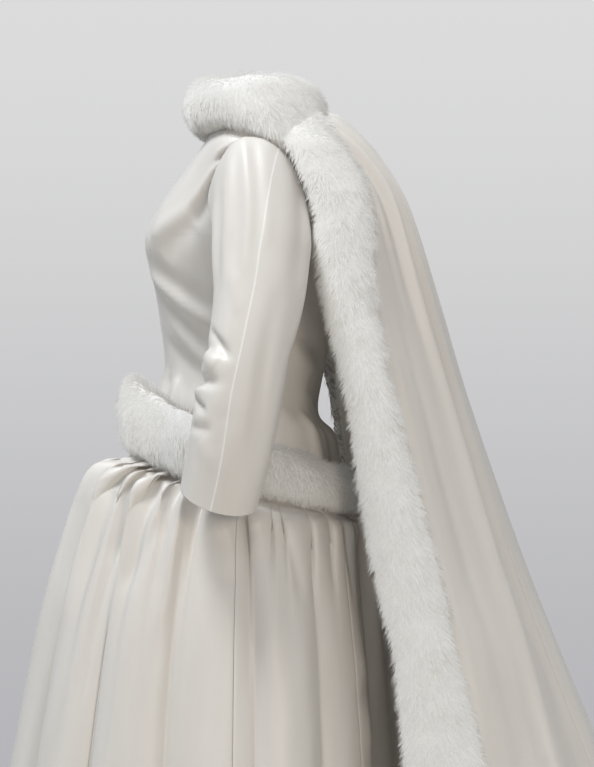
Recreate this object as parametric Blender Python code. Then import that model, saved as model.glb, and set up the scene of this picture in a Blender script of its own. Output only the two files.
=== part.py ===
"""Worn satin wedding gown with fur collar, fur hip band and a fur-edged train.

Metres, +Z up. The gown faces -Y and its left side is +X. The origin is the middle
of the shoulder line, where the wearer carries the gown, and the floor is at FLOOR.
Every cloth piece is a thin wall whose outer face is worked out from the sections
below; the fur pieces are rolls and strips that reach as far as the pile does.
"""

import math

import bmesh
import bpy

# Heights and walls
FLOOR = -1.420
SATIN_WALL = 0.0016
TRAIN_WALL = 0.0022
SEAM_GAP = 0.0003

# Torso sections from the hip seam up to the neckline, at the front, side and back
TORSO = [
    # name          z_front  z_side   z_back  half_width  front    back
    ("hip_seam",    -0.4170, -0.4840, -0.529, 0.1600, -0.1330, 0.1380),
    ("high_hip",    -0.3780, -0.4180, -0.440, 0.1460, -0.1265, 0.1310),
    ("waist",       -0.3350, -0.3720, -0.402, 0.1300, -0.1145, 0.1045),
    ("midriff",     -0.2750, -0.3000, -0.325, 0.1330, -0.1210, 0.1160),
    ("underbust",   -0.2100, -0.2280, -0.245, 0.1450, -0.1290, 0.1270),
    ("bust",        -0.1600, -0.1600, -0.165, 0.1535, -0.1330, 0.1340),
    ("chest",       -0.1120, -0.1120, -0.114, 0.1580, -0.1170, 0.1315),
    ("upper_chest", -0.0660, -0.0680, -0.066, 0.1640, -0.0900, 0.1150),
    ("shoulder",    -0.0300, -0.0310, -0.024, 0.1690, -0.0640, 0.0930),
    ("neckline",    -0.0120, -0.0100,  0.014, 0.1400, -0.0520, 0.0820),
]
TORSO_SQUARENESS = 2.4
BUST_POINT_X = 0.075
BUST_POINT_Z = -0.158
BUST_FULLNESS = 0.0150
BUST_SPREAD_X = 0.043
BUST_SPREAD_Z = 0.046

# The armhole, an oval counted in rows of TORSO and in degrees off the side seam
ARMHOLE_ROW = 6.60
ARMHOLE_ROWS = 1.55
ARMHOLE_FRONT = 24.0
ARMHOLE_BACK = 32.0
ARMHOLE_SEAM_SHARE = 0.992

# Sleeve sections from the upper arm to the cuff, for the left side
SLEEVE = [
    # name           x       y        z      half_depth  half_width
    ("upper_arm",    0.2150,  0.0180, -0.181, 0.0660, 0.0500),
    ("above_elbow",  0.2400,  0.0135, -0.249, 0.0610, 0.0500),
    ("elbow",        0.2610,  0.0000, -0.317, 0.0560, 0.0490),
    ("below_elbow",  0.2710, -0.0145, -0.384, 0.0580, 0.0480),
    ("forearm",      0.2715, -0.0255, -0.450, 0.0560, 0.0470),
    ("cuff",         0.2640, -0.0400, -0.513, 0.0530, 0.0460),
]
CUFF_DIP = 0.0150
SLEEVE_HEAD_SHARE = 0.30
# Where the outer sleeve seam runs, in degrees round the arm from the front
OUTER_SEAM_TOP = 134.8
OUTER_SEAM_MIDDLE = 90.0
OUTER_SEAM_CUFF = 77.0
ELBOW_CREASES = [
    # name       along   round   deep    long    wide
    ("upper",    0.605,   18.0, 0.0050, 0.016, 24.0),
    ("middle",   0.690,    5.0, 0.0065, 0.016, 30.0),
    ("lower",    0.775,   30.0, 0.0045, 0.014, 24.0),
]

# Fur band round the hips: it dips towards the back and is fullest in front
BAND_MIDDLE_SIDE = -0.472
BAND_TILT = 0.056
BAND_LIFT = 0.011
BAND_HALF_HEIGHT = 0.0435
BAND_HALF_HEIGHT_SWING = 0.0120
BAND_HALF_THICKNESS = 0.0252
BAND_STAND_OFF = 0.0006

# Skirt sections from the hip seam down to the hem
SKIRT = [
    # name         z_front  z_side   z_back  half_width  front   back   gather  fold
    ("hem",        -1.4190, -1.4190, -1.4190, 0.3850, -0.4060, 0.2500, 0.0000, 0.0170),
    ("knee",       -1.1200, -1.1200, -1.1200, 0.3390, -0.3570, 0.2230, 0.0006, 0.0150),
    ("photo_edge", -0.9000, -0.9050, -0.9100, 0.3040, -0.3220, 0.2040, 0.0012, 0.0125),
    ("thigh",      -0.7000, -0.7250, -0.7350, 0.2710, -0.2850, 0.1910, 0.0022, 0.0100),
    ("hip",        -0.5850, -0.6320, -0.6500, 0.2470, -0.2520, 0.1820, 0.0042, 0.0075),
    ("gathers",    -0.5120, -0.5720, -0.5960, 0.2300, -0.2260, 0.1770, 0.0058, 0.0040),
    ("puff",       -0.4740, -0.5360, -0.5640, 0.2120, -0.1970, 0.1700, 0.0052, 0.0015),
    ("lip",        -0.4690, -0.5240, -0.5550, 0.1880, -0.1660, 0.1590, 0.0022, 0.0000),
    ("under_band", -0.4560, -0.5120, -0.5460, 0.1660, -0.1385, 0.1440, 0.0004, 0.0000),
    ("hip_seam",   -0.4186, -0.4856, -0.5306, 0.1600, -0.1330, 0.1380, 0.0000, 0.0000),
]
SKIRT_SQUARENESS = 2.1
GATHERS = 28
COLUMNS_PER_GATHER = 4
# Degrees from the centre front, towards the wearer's left, of the broad folds' crests
FOLD_CRESTS = [
    -12.0, 12.0, 36.0, 59.0, 80.0, 104.0, 136.0, 165.0,
    196.0, 226.0, 256.0, 280.0, 302.0, 325.0, 348.0,
]
# Gores, in gathers counted round from the centre front
GORES = [
    # name                 first   last
    ("skirt_front",        -3.50,  3.50),
    ("skirt_side_front_l",  3.50,  6.75),
    ("skirt_side_back_l",   6.75, 10.50),
    ("skirt_back_l",       10.50, 14.00),
    ("skirt_back_r",       14.00, 17.50),
    ("skirt_side_back_r",  17.50, 21.25),
    ("skirt_side_front_r", 21.25, 24.50),
]

# Train sections from the neckline to the floor. Each is half an oval open to the front
TRAIN = [
    # name          z_edge   z_back   half_width edge_y back_y fur_width fold
    ("top",         -0.0120,  0.0158, 0.1520, 0.042, 0.096, 0.040, 0.0010),
    ("heading",     -0.0200,  0.0230, 0.1660, 0.047, 0.119, 0.050, 0.0035),
    ("nape",        -0.0360,  0.0080, 0.1780, 0.058, 0.143, 0.056, 0.0065),
    ("shoulder",    -0.0620, -0.0400, 0.1890, 0.077, 0.187, 0.062, 0.0085),
    ("blade",       -0.1180, -0.1120, 0.2000, 0.099, 0.229, 0.066, 0.0110),
    ("ribs",        -0.2480, -0.2480, 0.2100, 0.114, 0.274, 0.060, 0.0130),
    ("waist",       -0.3840, -0.3840, 0.2220, 0.147, 0.315, 0.051, 0.0145),
    ("hip",         -0.5880, -0.5880, 0.2420, 0.176, 0.386, 0.074, 0.0165),
    ("thigh",       -0.7240, -0.7240, 0.2590, 0.204, 0.440, 0.074, 0.0180),
    ("photo_edge",  -0.8830, -0.8830, 0.2800, 0.220, 0.508, 0.096, 0.0195),
    ("knee",        -1.1000, -1.1000, 0.3070, 0.246, 0.608, 0.100, 0.0210),
    ("ankle",       -1.3200, -1.3200, 0.3370, 0.278, 0.730, 0.100, 0.0200),
]
# How the cloth runs out over the floor after the ankle: rise above it and reach along it
TRAIL = [
    # name       rise    reach   fold
    ("bend",     0.0330, 0.045, 0.0150),
    ("touch",    0.0080, 0.130, 0.0075),
    ("middle",   0.0055, 0.400, 0.0050),
    ("hem",      0.0050, 0.790, 0.0045),
]
TRAIL_SPLAY = 0.50
TRAIL_CORNER_CUT = 0.16
TRAIN_RIDGES = [
    # name         at_neck at_hip at_floor wide height
    ("left_soft",    23.0,  24.0,  17.0,  9.0, 0.50),
    ("left_sharp",   42.0,  47.0,  35.0,  6.5, 1.00),
    ("left_back",    59.0,  67.0,  61.0,  7.0, 0.85),
    ("middle",       84.0,  90.0,  92.0,  9.0, 0.55),
    ("right_back",  114.0, 112.0, 120.0,  7.5, 0.80),
    ("right_sharp", 136.0, 134.0, 145.0,  7.0, 1.00),
    ("right_soft",  157.0, 157.0, 164.0,  9.0, 0.55),
]
TRAIN_PANELS = [
    # name           first  last  columns
    ("train_left",      0,   60,  11),
    ("train_middle",   60,  120,  10),
    ("train_right",   120,  180,  11),
]
# The fur edging covers the first columns of the side panels and overhangs their edge
FUR_COLUMNS = 4
FUR_THICKNESS = 0.0240
FUR_OVERHANG = 0.010
FUR_STAND_OFF = 0.0010
FUR_SECTION = [
    # name            across  over_edge  lift
    ("inner_edge",     1.00,   0.0,  0.00),
    ("under_1",        0.75,   0.0,  0.00),
    ("under_2",        0.50,   0.0,  0.00),
    ("under_3",        0.25,   0.0,  0.00),
    ("satin_edge",     0.00,   0.0,  0.00),
    ("lip_under",      0.00,   0.8,  0.12),
    ("lip_over",       0.00,   1.0,  0.45),
    ("rise",           0.08,   0.0,  0.86),
    ("crown",          0.35,   0.0,  1.00),
    ("fall",           0.70,   0.0,  0.92),
    ("inner_side",     0.96,   0.0,  0.50),
]

# Fur collar: a roll round the boat neckline
COLLAR = [
    # name    degrees  x      y       z      half_width  half_height  lean
    ("front",     0, 0.000, -0.0615, 0.0289, 0.0270, 0.0390,   0.0),
    ("bow",      38, 0.098, -0.0500, 0.0279, 0.0300, 0.0385,  -6.0),
    ("shoulder", 85, 0.152,  0.0140, 0.0289, 0.0340, 0.0385, -10.0),
    ("blade",   135, 0.108,  0.0760, 0.0339, 0.0270, 0.0280,  -4.0),
    ("back",    180, 0.000,  0.0900, 0.0349, 0.0250, 0.0180,   0.0),
]


def hermite(knots, values, at):
    """Smooth curve through the values at rising knots, read at one place."""
    if at <= knots[0]:
        return values[0]
    if at >= knots[-1]:
        return values[-1]
    i = max(k for k in range(len(knots) - 1) if knots[k] <= at)
    slopes = []
    for k in (i, i + 1):
        low, high = max(k - 1, 0), min(k + 1, len(knots) - 1)
        slopes.append((values[high] - values[low]) / (knots[high] - knots[low]))
    span = knots[i + 1] - knots[i]
    t = (at - knots[i]) / span
    return (
        values[i] * (1 - t) ** 2 * (1 + 2 * t)
        + values[i + 1] * t * t * (3 - 2 * t)
        + slopes[0] * span * t * (1 - t) ** 2
        - slopes[1] * span * t * t * (1 - t)
    )


def section(table, at):
    """The columns of a table of sections, read smoothly between its rows."""
    knots = list(range(len(table)))
    return [hermite(knots, [row[c] for row in table], at) for c in range(1, len(table[0]))]


def bell(x, width):
    return math.exp(-0.5 * (x / width) ** 2)


def oval(angle, half_width, front, back, squareness=2.0):
    """X and Y on a section, counted in radians from the front towards the left."""
    power = 2.0 / squareness
    s, c = math.sin(angle), math.cos(angle)
    x = math.copysign(abs(s) ** power, s) * half_width
    y = abs(c) ** power * (front if c > 0 else back)
    return x, y


def tilted(angle, z_front, z_side, z_back):
    c = math.cos(angle)
    return z_side + ((z_front if c > 0 else z_back) - z_side) * abs(c)


def torso_point(angle, at):
    """Outer face of the bodice; at counts rows of TORSO upwards."""
    z_front, z_side, z_back, half_width, front, back = section(TORSO, at)
    x, y = oval(angle, half_width, front, back, TORSO_SQUARENESS)
    z = tilted(angle, z_front, z_side, z_back)
    if math.cos(angle) > 0:
        y -= (
            BUST_FULLNESS
            * bell(abs(x) - BUST_POINT_X, BUST_SPREAD_X)
            * bell(z - BUST_POINT_Z, BUST_SPREAD_Z)
        )
    return x, y, z


def armhole_angle(at, centre_angle):
    """Where a row of the bodice, running out from the centre front or back, ends."""
    off = (at - ARMHOLE_ROW) / ARMHOLE_ROWS
    reach = ARMHOLE_BACK if centre_angle else ARMHOLE_FRONT
    degrees = reach * math.sqrt(max(1.0 - off * off, 0.0))
    return math.radians(90.0 + degrees if centre_angle else 90.0 - degrees)


def armhole_rim(angle):
    """A point just inside the armhole edge, and the way the sleeve leaves it."""
    across = ARMHOLE_FRONT if math.cos(angle) > 0 else ARMHOLE_BACK
    degrees = 90.0 - across * ARMHOLE_SEAM_SHARE * math.cos(angle)
    at = ARMHOLE_ROW + ARMHOLE_ROWS * ARMHOLE_SEAM_SHARE * math.sin(angle)
    place = math.radians(degrees)
    round_body = add(torso_point(place + 0.01, at), torso_point(place - 0.01, at), -1)
    up_body = add(torso_point(place, at + 0.05), torso_point(place, at - 0.05), -1)
    outward = unit(cross(round_body, up_body))
    return torso_point(place, at), outward


def cross(a, b):
    return (
        a[1] * b[2] - a[2] * b[1],
        a[2] * b[0] - a[0] * b[2],
        a[0] * b[1] - a[1] * b[0],
    )


def unit(a):
    length = math.sqrt(sum(c * c for c in a))
    return tuple(c / length for c in a)


def add(a, b, scale=1.0):
    return tuple(p + scale * q for p, q in zip(a, b))


def sleeve_axis(along):
    """Centre of the arm and its downward direction; along is 0 at the upper arm, 1 at the cuff."""
    at = along * (len(SLEEVE) - 1)
    x, y, z, half_depth, half_width = section(SLEEVE, at)
    before = section(SLEEVE, max(at - 0.25, 0))[:3]
    after = section(SLEEVE, min(at + 0.25, len(SLEEVE) - 1))[:3]
    return (x, y, z), unit(add(after, before, -1)), half_depth, half_width


def sleeve_ring(angle, along):
    """A point of a plain sleeve section square to the arm."""
    centre, down, half_depth, half_width = sleeve_axis(along)
    outward = unit(cross((0, 1, 0), tuple(-c for c in down)))
    back = cross(tuple(-c for c in down), outward)
    point = add(centre, outward, half_width * math.sin(angle))
    return add(point, back, -half_depth * math.cos(angle)), down


def sleeve_head(angle, share):
    """The sleeve from the armhole to the upper arm, as a curve down each line of the arm."""
    start, outward = armhole_rim(angle)
    end, down = sleeve_ring(angle, 0.0)
    top = math.sin(angle)
    leave = add(start, outward, 0.010 + 0.022 * max(top, 0.0))
    arrive = add(end, down, -0.032 - 0.020 * top)
    t = share / SLEEVE_HEAD_SHARE
    weights = ((1 - t) ** 3, 3 * t * (1 - t) ** 2, 3 * t * t * (1 - t), t ** 3)
    return tuple(
        sum(w * p[k] for w, p in zip(weights, (start, leave, arrive, end))) for k in range(3)
    )


def sleeve_point(angle, share):
    """Outer face of the left sleeve; share is 0 at the armhole and 1 at the cuff."""
    if share < SLEEVE_HEAD_SHARE:
        return sleeve_head(angle, share)
    along = min((share - SLEEVE_HEAD_SHARE) / (1 - SLEEVE_HEAD_SHARE), 1.0)
    point, down = sleeve_ring(angle, along)
    outward = unit(add(point, sleeve_axis(along)[0], -1))
    degrees = math.degrees(angle)
    pinch = sum(
        deep * bell(share - place, long) * bell(wrapped(degrees - turn), wide)
        for _, place, turn, deep, long, wide in ELBOW_CREASES
    )
    dip = CUFF_DIP * math.sin(angle) * max(along - 0.5, 0.0) ** 2 * 4
    return add(add(point, outward, -pinch), (0, 0, 1), -dip)


def wrapped(degrees):
    return (degrees + 180.0) % 360.0 - 180.0


def outer_seam(share):
    """Angle of the outer sleeve seam, which starts behind the shoulder."""
    places = [0.0, 0.30, 1.0]
    return math.radians(
        hermite(places, [OUTER_SEAM_TOP, OUTER_SEAM_MIDDLE, OUTER_SEAM_CUFF], share)
    )


def gather_angle(gather):
    """Gathers are unevenly wide, so their count is turned into an angle with a slow drift."""
    turn = 2 * math.pi * gather / GATHERS
    return turn + 0.022 * math.sin(3 * turn) + 0.012 * math.sin(8 * turn)


def fold_wave(degrees):
    """From -1 in a groove to 1 on a crest of the skirt's broad, unevenly spaced folds."""
    degrees = (degrees - FOLD_CRESTS[0]) % 360.0 + FOLD_CRESTS[0]
    last = max(k for k in range(len(FOLD_CRESTS)) if FOLD_CRESTS[k] <= degrees + 1e-9)
    crests = FOLD_CRESTS + [FOLD_CRESTS[0] + 360.0]
    share = (degrees - crests[last]) / (crests[last + 1] - crests[last])
    return 2 * abs(math.cos(math.pi * share)) ** 1.2 - 1


def skirt_point(gather, at):
    """Outer face of the skirt; at counts rows of SKIRT upwards from the hem."""
    z_front, z_side, z_back, half_width, front, back, ruffle, fold = section(SKIRT, at)
    angle = gather_angle(gather)
    squareness = SKIRT_SQUARENESS + (TORSO_SQUARENESS - SKIRT_SQUARENESS) * max(at - 7, 0) / 2
    x, y = oval(angle, half_width, front, back, squareness)
    z = tilted(angle, z_front, z_side, z_back)
    strength = 1 + 0.35 * math.sin(2.3 * gather + 1.0)
    wave = ruffle * strength * math.cos(2 * math.pi * gather)
    wave += fold * fold_wave(math.degrees(angle)) * (0.9 + 0.25 * math.sin(2 * angle + 0.5))
    outward = unit((x / half_width ** 2, y / (front if y < 0 else back) ** 2, 0))
    return add((x, y, z), outward, wave)


def band_point(angle, turn):
    """Surface of the fur hip band; turn goes round the roll from its outermost line."""
    x, y = oval(angle, TORSO[0][4], TORSO[0][5], TORSO[0][6], TORSO_SQUARENESS)
    c = math.cos(angle)
    middle = BAND_MIDDLE_SIDE + BAND_TILT * c + BAND_LIFT * c * c
    half_height = BAND_HALF_HEIGHT + BAND_HALF_HEIGHT_SWING * c
    out = unit((x / TORSO[0][4] ** 2, y / (TORSO[0][5] if y < 0 else TORSO[0][6]) ** 2, 0))
    away = BAND_STAND_OFF + BAND_HALF_THICKNESS * (1 + math.cos(turn))
    point = add((x, y, middle), out, away)
    return add(point, (0, 0, 1), half_height * math.sin(turn))


def train_row(at):
    """One level of the train: heights, oval, fur width, fold height and reach over the floor."""
    last = len(TRAIN) - 1
    z_edge, z_back, half_width, edge_y, back_y, fur_width, fold = section(TRAIN, min(at, last))
    if at <= last:
        return z_edge, z_back, half_width, edge_y, back_y, fur_width, fold, 0.0
    knots = [0.0] + [float(k + 1) for k in range(len(TRAIL))]
    past = at - last
    z = FLOOR + hermite(knots, [z_edge - FLOOR] + [row[1] for row in TRAIL], past)
    reach = hermite(knots, [0.0] + [row[2] for row in TRAIL], past)
    fold = hermite(knots, [fold] + [row[3] for row in TRAIL], past)
    return z, z, half_width, edge_y, back_y, fur_width, fold, reach


def ridge_place(places, at):
    """A ridge of the train runs from its place at the neck to its place on the floor."""
    return hermite([0.0, 7.0, 11.0], places, min(at, 11.0))


def train_point(degrees, at):
    """Outer face of the train; degrees run from the left edge round the back to the right."""
    z_edge, z_back, half_width, edge_y, back_y, _, fold, reach = train_row(at)
    angle = math.radians(degrees)
    depth = back_y - edge_y
    x, y = half_width * math.cos(angle), edge_y + depth * math.sin(angle)
    z = z_edge + (z_back - z_edge) * math.sin(angle) ** 2
    ridges = sum(row[5] * bell(degrees - ridge_place(row[1:4], at), row[4]) for row in TRAIN_RIDGES)
    rise = fold * (ridges - 0.35)
    out = unit((math.cos(angle) / half_width, max(math.sin(angle), 0) / depth, 0))
    flat = min(reach / TRAIL[1][2], 1.0)
    point = add((x, y, z), out, rise * (1 - flat))
    point = add(point, (0, 0, 1), (rise + 0.35 * fold) * flat)
    cut = reach * (1 - TRAIL_CORNER_CUT * math.cos(angle) ** 2)
    along = unit((TRAIL_SPLAY * math.cos(angle), 1, 0))
    return add(point, along, cut)


def train_normal(degrees, at):
    step = 0.5
    across = add(train_point(degrees + step, at), train_point(degrees - step, at), -1)
    last = len(TRAIN) - 1 + len(TRAIL)
    up = add(
        train_point(degrees, max(at - 0.1, 0)), train_point(degrees, min(at + 0.1, last)), -1
    )
    return unit(cross(across, up))


def fur_degrees(at):
    """How far round the train its fur edging reaches from the edge."""
    _, _, _, edge_y, back_y, fur_width, _, _ = train_row(at)
    return fur_width * math.degrees(1 / (back_y - edge_y))


def fur_point(column, at, side):
    """Surface of a fur edging, whose underside follows the columns of the satin."""
    _, across, over_edge, lift = FUR_SECTION[column % len(FUR_SECTION)]
    _, _, _, _, _, fur_width, _, _ = train_row(at)
    degrees = fur_degrees(at) * (across - over_edge * FUR_OVERHANG / fur_width)
    if side < 0:
        degrees = 180.0 - degrees
    tucked = min(0.05 + 0.33 * at, 1.0)
    away = FUR_STAND_OFF + FUR_THICKNESS * lift * tucked
    return add(train_point(degrees, at), train_normal(degrees, at), away)


def collar_point(degrees, turn):
    """Surface of the fur collar; turn goes round the roll from its outer side."""
    half = abs(wrapped(degrees))
    knots = [row[1] for row in COLLAR]
    x, y, z, half_width, half_height, lean = [
        hermite(knots, [row[c] for row in COLLAR], half) for c in range(2, 8)
    ]
    x = math.copysign(x, wrapped(degrees))
    around = math.radians(degrees)
    out = unit((0.62 * math.sin(around), -math.cos(around), 0))
    lean = math.radians(lean)
    u, w = half_width * math.cos(turn), half_height * math.sin(turn)
    outward = u * math.cos(lean) - w * math.sin(lean)
    upward = u * math.sin(lean) + w * math.cos(lean)
    return add(add((x, y, z), out, outward), (0, 0, 1), upward)


def material(name, colour, roughness):
    made = bpy.data.materials.new(name)
    made.use_nodes = True
    shader = made.node_tree.nodes["Principled BSDF"]
    shader.inputs["Base Color"].default_value = (*colour, 1.0)
    shader.inputs["Roughness"].default_value = roughness
    shader.inputs["Metallic"].default_value = 0.0
    return made


def finished(name, mesh, finish):
    """A mesh made into a named, smooth-shaded object."""
    mesh.shade_smooth()
    made = bpy.data.objects.new(name, mesh)
    made.data.materials.append(finish)
    bpy.context.scene.collection.objects.link(made)
    return made


def grid(columns, rows, surface):
    """A grid rolled into a closed roll or strip; its meeting edges are merged."""
    shape = bmesh.new()
    bmesh.ops.create_grid(shape, x_segments=columns, y_segments=rows, size=1.0)
    for vertex in shape.verts:
        vertex.co = surface((vertex.co.x + 1) / 2, (vertex.co.y + 1) / 2)
    bmesh.ops.remove_doubles(shape, verts=shape.verts, dist=0.00002)
    return shape


def to_mesh(name, shape):
    bmesh.ops.recalc_face_normals(shape, faces=shape.faces)
    mesh = bpy.data.meshes.new(name)
    shape.to_mesh(mesh)
    shape.free()
    return mesh


def facing(surface, u, v):
    """Outward direction of a panel whose u runs to the wearer's left and v runs up."""
    step = 0.002
    across = add(surface(u + step, v), surface(u - step, v), -1)
    up = add(surface(u, v + step), surface(u, v - step), -1)
    return unit(cross(across, up))


def cloth(name, columns, rows, surface, wall, finish):
    """A cloth panel: its outer face and, a wall's thickness inside it, its inner face."""
    shape = bmesh.new()
    bmesh.ops.create_grid(shape, x_segments=columns, y_segments=rows, size=1.0)
    doubled = bmesh.ops.extrude_face_region(shape, geom=shape.faces[:], use_keep_orig=True)
    inner = {v for v in doubled["geom"] if isinstance(v, bmesh.types.BMVert)}
    for vertex in shape.verts:
        u, v = (vertex.co.x + 1) / 2, (vertex.co.y + 1) / 2
        depth = wall if vertex in inner else 0.0
        vertex.co = add(surface(u, v), facing(surface, u, v), -depth)
    return finished(name, to_mesh(name, shape), finish)


def stops(values, share):
    """Rows placed where they are needed: share 0 to 1 runs through the list of places."""
    at = share * (len(values) - 1)
    low = min(int(at), len(values) - 2)
    return values[low] + (values[low + 1] - values[low]) * (at - low)


BODICE_ROWS = [0, 1, 2, 3, 4, 4.6, 5.05, 5.20, 5.55, 6.0, 6.6, 7.2, 7.7, 8.02, 8.15, 8.5, 9]
BODICE_COLUMNS = 7


def bodice_panel(name, side, back):
    """A quarter of the bodice, from the centre front or back to the side seam."""
    centre = math.pi if back else 0.0

    def surface(u, v):
        at = stops(BODICE_ROWS, v)
        edge = armhole_angle(at, centre)
        radius = section(TORSO, at)[3]
        gap = 0.5 * SEAM_GAP / radius
        low, high = (edge + gap, centre - gap) if back else (centre + gap, edge - gap)
        angle = low + (high - low) * u if side > 0 else -high + (high - low) * u
        return torso_point(angle, at)

    return cloth(name, BODICE_COLUMNS, len(BODICE_ROWS) - 1, surface, SATIN_WALL, SATIN)


SLEEVE_ROWS = [0, 0.07, 0.16, 0.30, 0.44, 0.56, 0.605, 0.65, 0.69, 0.73, 0.775, 0.82, 0.91, 1.0]
UNDERARM = -90.0
# Degrees round the armhole where its edge meets the rows of the bodice
FRONT_TURNS = [-90.0, -64.6, -42.6, -22.8, 0.0, 22.8, 45.2, 66.4, 90.0, 113.6, 134.8]
BACK_TURNS = [134.8, 157.2, 180.0, 202.8, 222.6, 244.6, 270.0]


def sleeve_panel(name, side, back):
    """The front or back half of a sleeve, between the underarm and the outer seam."""
    turns = BACK_TURNS if back else FRONT_TURNS

    def surface(u, v):
        share = stops(SLEEVE_ROWS, 1 - v)
        gap = 0.5 * SEAM_GAP / 0.05
        turn = stops(turns, u if side > 0 else 1 - u)
        along = (turn - turns[0]) / (turns[-1] - turns[0])
        under, seam = math.radians(UNDERARM), outer_seam(share)
        low, high = (seam, under + 2 * math.pi) if back else (under, seam)
        angle = low + gap + (high - low - 2 * gap) * along
        x, y, z = sleeve_point(angle, share)
        return x * side, y, z

    return cloth(name, len(turns) - 1, len(SLEEVE_ROWS) - 1, surface, SATIN_WALL, SATIN)


SKIRT_ROWS = [0, 1, 2, 3, 4, 5, 6, 7, 8, 9]


def skirt_gore(name, first, last):
    def surface(u, v):
        at = stops(SKIRT_ROWS, v)
        half_width = section(SKIRT, at)[3]
        gap = 0.5 * SEAM_GAP / half_width * GATHERS / (2 * math.pi)
        return skirt_point(first + gap + (last - first - 2 * gap) * u, at)

    columns = round((last - first) * COLUMNS_PER_GATHER)
    return cloth(name, columns, len(SKIRT_ROWS) - 1, surface, SATIN_WALL, SATIN)


TRAIN_ROWS = [15, 14, 13, 12.5, 12, 11, 10, 9, 8, 7, 6, 5, 4, 3, 2, 1, 0]


def train_panel(name, first, last, columns):
    def surface(u, v):
        at = stops(TRAIN_ROWS, v)
        gap = math.degrees(0.5 * SEAM_GAP / train_row(at)[2])
        low, high = first + gap, last - gap
        column = u * columns
        covered = fur_degrees(at)
        if first == 0:
            places = [low, covered, high]
            counts = [0, FUR_COLUMNS, columns]
        elif last == 180:
            places = [low, 180.0 - covered, high]
            counts = [0, columns - FUR_COLUMNS, columns]
        else:
            places = [low, high]
            counts = [0, columns]
        part = 0 if column < counts[1] or len(counts) == 2 else 1
        share = (column - counts[part]) / (counts[part + 1] - counts[part])
        return train_point(places[part] + (places[part + 1] - places[part]) * share, at)

    return cloth(name, columns, len(TRAIN_ROWS) - 1, surface, TRAIN_WALL, SATIN)


def fur_strip(name, side):
    """Fur edging laid on the outside of the train's long edge, closed at both ends."""
    columns = len(FUR_SECTION)

    def surface(u, v):
        return fur_point(round(u * columns), stops(TRAIN_ROWS, v), side)

    shape = grid(columns, len(TRAIN_ROWS) - 1, surface)
    bmesh.ops.holes_fill(shape, edges=shape.edges, sides=0)
    return finished(name, to_mesh(name, shape), FUR)


def fur_ring(name, columns, rows, surface):
    """A closed fur roll round the body."""

    return finished(name, to_mesh(name, grid(columns, rows, surface)), FUR)


def clear_scene():
    for leftover in list(bpy.data.objects):
        bpy.data.objects.remove(leftover)


clear_scene()
SATIN = material("ivory_duchess_satin", (0.80, 0.77, 0.71), 0.42)
FUR = material("white_fur", (0.86, 0.85, 0.83), 0.90)

for side, letter in ((1, "l"), (-1, "r")):
    bodice_panel("bodice_front_" + letter, side, back=False)
    bodice_panel("bodice_back_" + letter, side, back=True)
    sleeve_panel("sleeve_front_" + letter, side, back=False)
    sleeve_panel("sleeve_back_" + letter, side, back=True)
    fur_strip("train_fur_" + letter, side)
for gore in GORES:
    skirt_gore(*gore)
for panel in TRAIN_PANELS:
    train_panel(*panel)
fur_ring("hip_band", 36, 10, lambda u, v: band_point(2 * math.pi * u, 2 * math.pi * v))
fur_ring("collar", 32, 10, lambda u, v: collar_point(360.0 * u, 2 * math.pi * v))
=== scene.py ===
# %% [markdown]
# # A satin wedding gown with a fur collar, a fur hip band and a fur-edged train
# The gown hangs as worn: the origin is the middle of the shoulder line, it faces -Y, its left
# side is +X and the floor is at FLOOR. The CAD solids give every piece its form and its size.
# Here each piece is made again from the same sections, much finer, with its creases, its seam
# grooves and, on the fur, its hairs.

import math

import bmesh
import bpy
import numpy as np
from mathutils import Matrix, Vector


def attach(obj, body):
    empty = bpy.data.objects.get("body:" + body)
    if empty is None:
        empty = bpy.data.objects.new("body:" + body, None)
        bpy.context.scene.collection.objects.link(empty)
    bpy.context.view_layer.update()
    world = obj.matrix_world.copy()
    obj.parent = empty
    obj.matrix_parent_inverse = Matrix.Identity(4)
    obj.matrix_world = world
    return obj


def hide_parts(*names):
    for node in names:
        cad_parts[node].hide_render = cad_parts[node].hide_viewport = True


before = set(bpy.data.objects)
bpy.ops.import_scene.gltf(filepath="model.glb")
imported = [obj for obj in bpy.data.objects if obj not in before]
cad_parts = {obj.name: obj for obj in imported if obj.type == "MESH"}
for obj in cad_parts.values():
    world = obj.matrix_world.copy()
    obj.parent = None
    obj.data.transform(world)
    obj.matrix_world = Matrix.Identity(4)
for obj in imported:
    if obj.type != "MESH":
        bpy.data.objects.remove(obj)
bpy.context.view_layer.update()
FLOOR = -1.420


# %% [markdown]
# ## Colours and nodes
# Colours are picked as sRGB hex values, the way a painter reads them off a chart, and one
# function turns them to the linear values that the renderer mixes. A second function adds a
# node with its settings and its links, so that each material below reads as one short list.

# %% Two helpers for materials
def linear(hex_colour):
    values = [int(hex_colour[i:i + 2], 16) / 255 for i in (1, 3, 5)]
    return [v / 12.92 if v <= 0.04045 else ((v + 0.055) / 1.055) ** 2.4 for v in values] + [1.0]


def add_node(tree, kind, settings=None, **inputs):
    """Adds a node; an input is a value, or a socket that is linked to it."""
    node = tree.nodes.new(kind)
    for name, value in (settings or {}).items():
        setattr(node, name, value)
    for name, value in inputs.items():
        socket = node.inputs[int(name[1:])] if name[0] == "_" else node.inputs[name.replace("_", " ")]
        if isinstance(value, bpy.types.NodeSocket):
            tree.links.new(value, socket)
        else:
            socket.default_value = value
    return node


def start_material(name):
    made = bpy.data.materials.new(name)
    made.use_nodes = True
    return made, made.node_tree, made.node_tree.nodes["Principled BSDF"]


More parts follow.
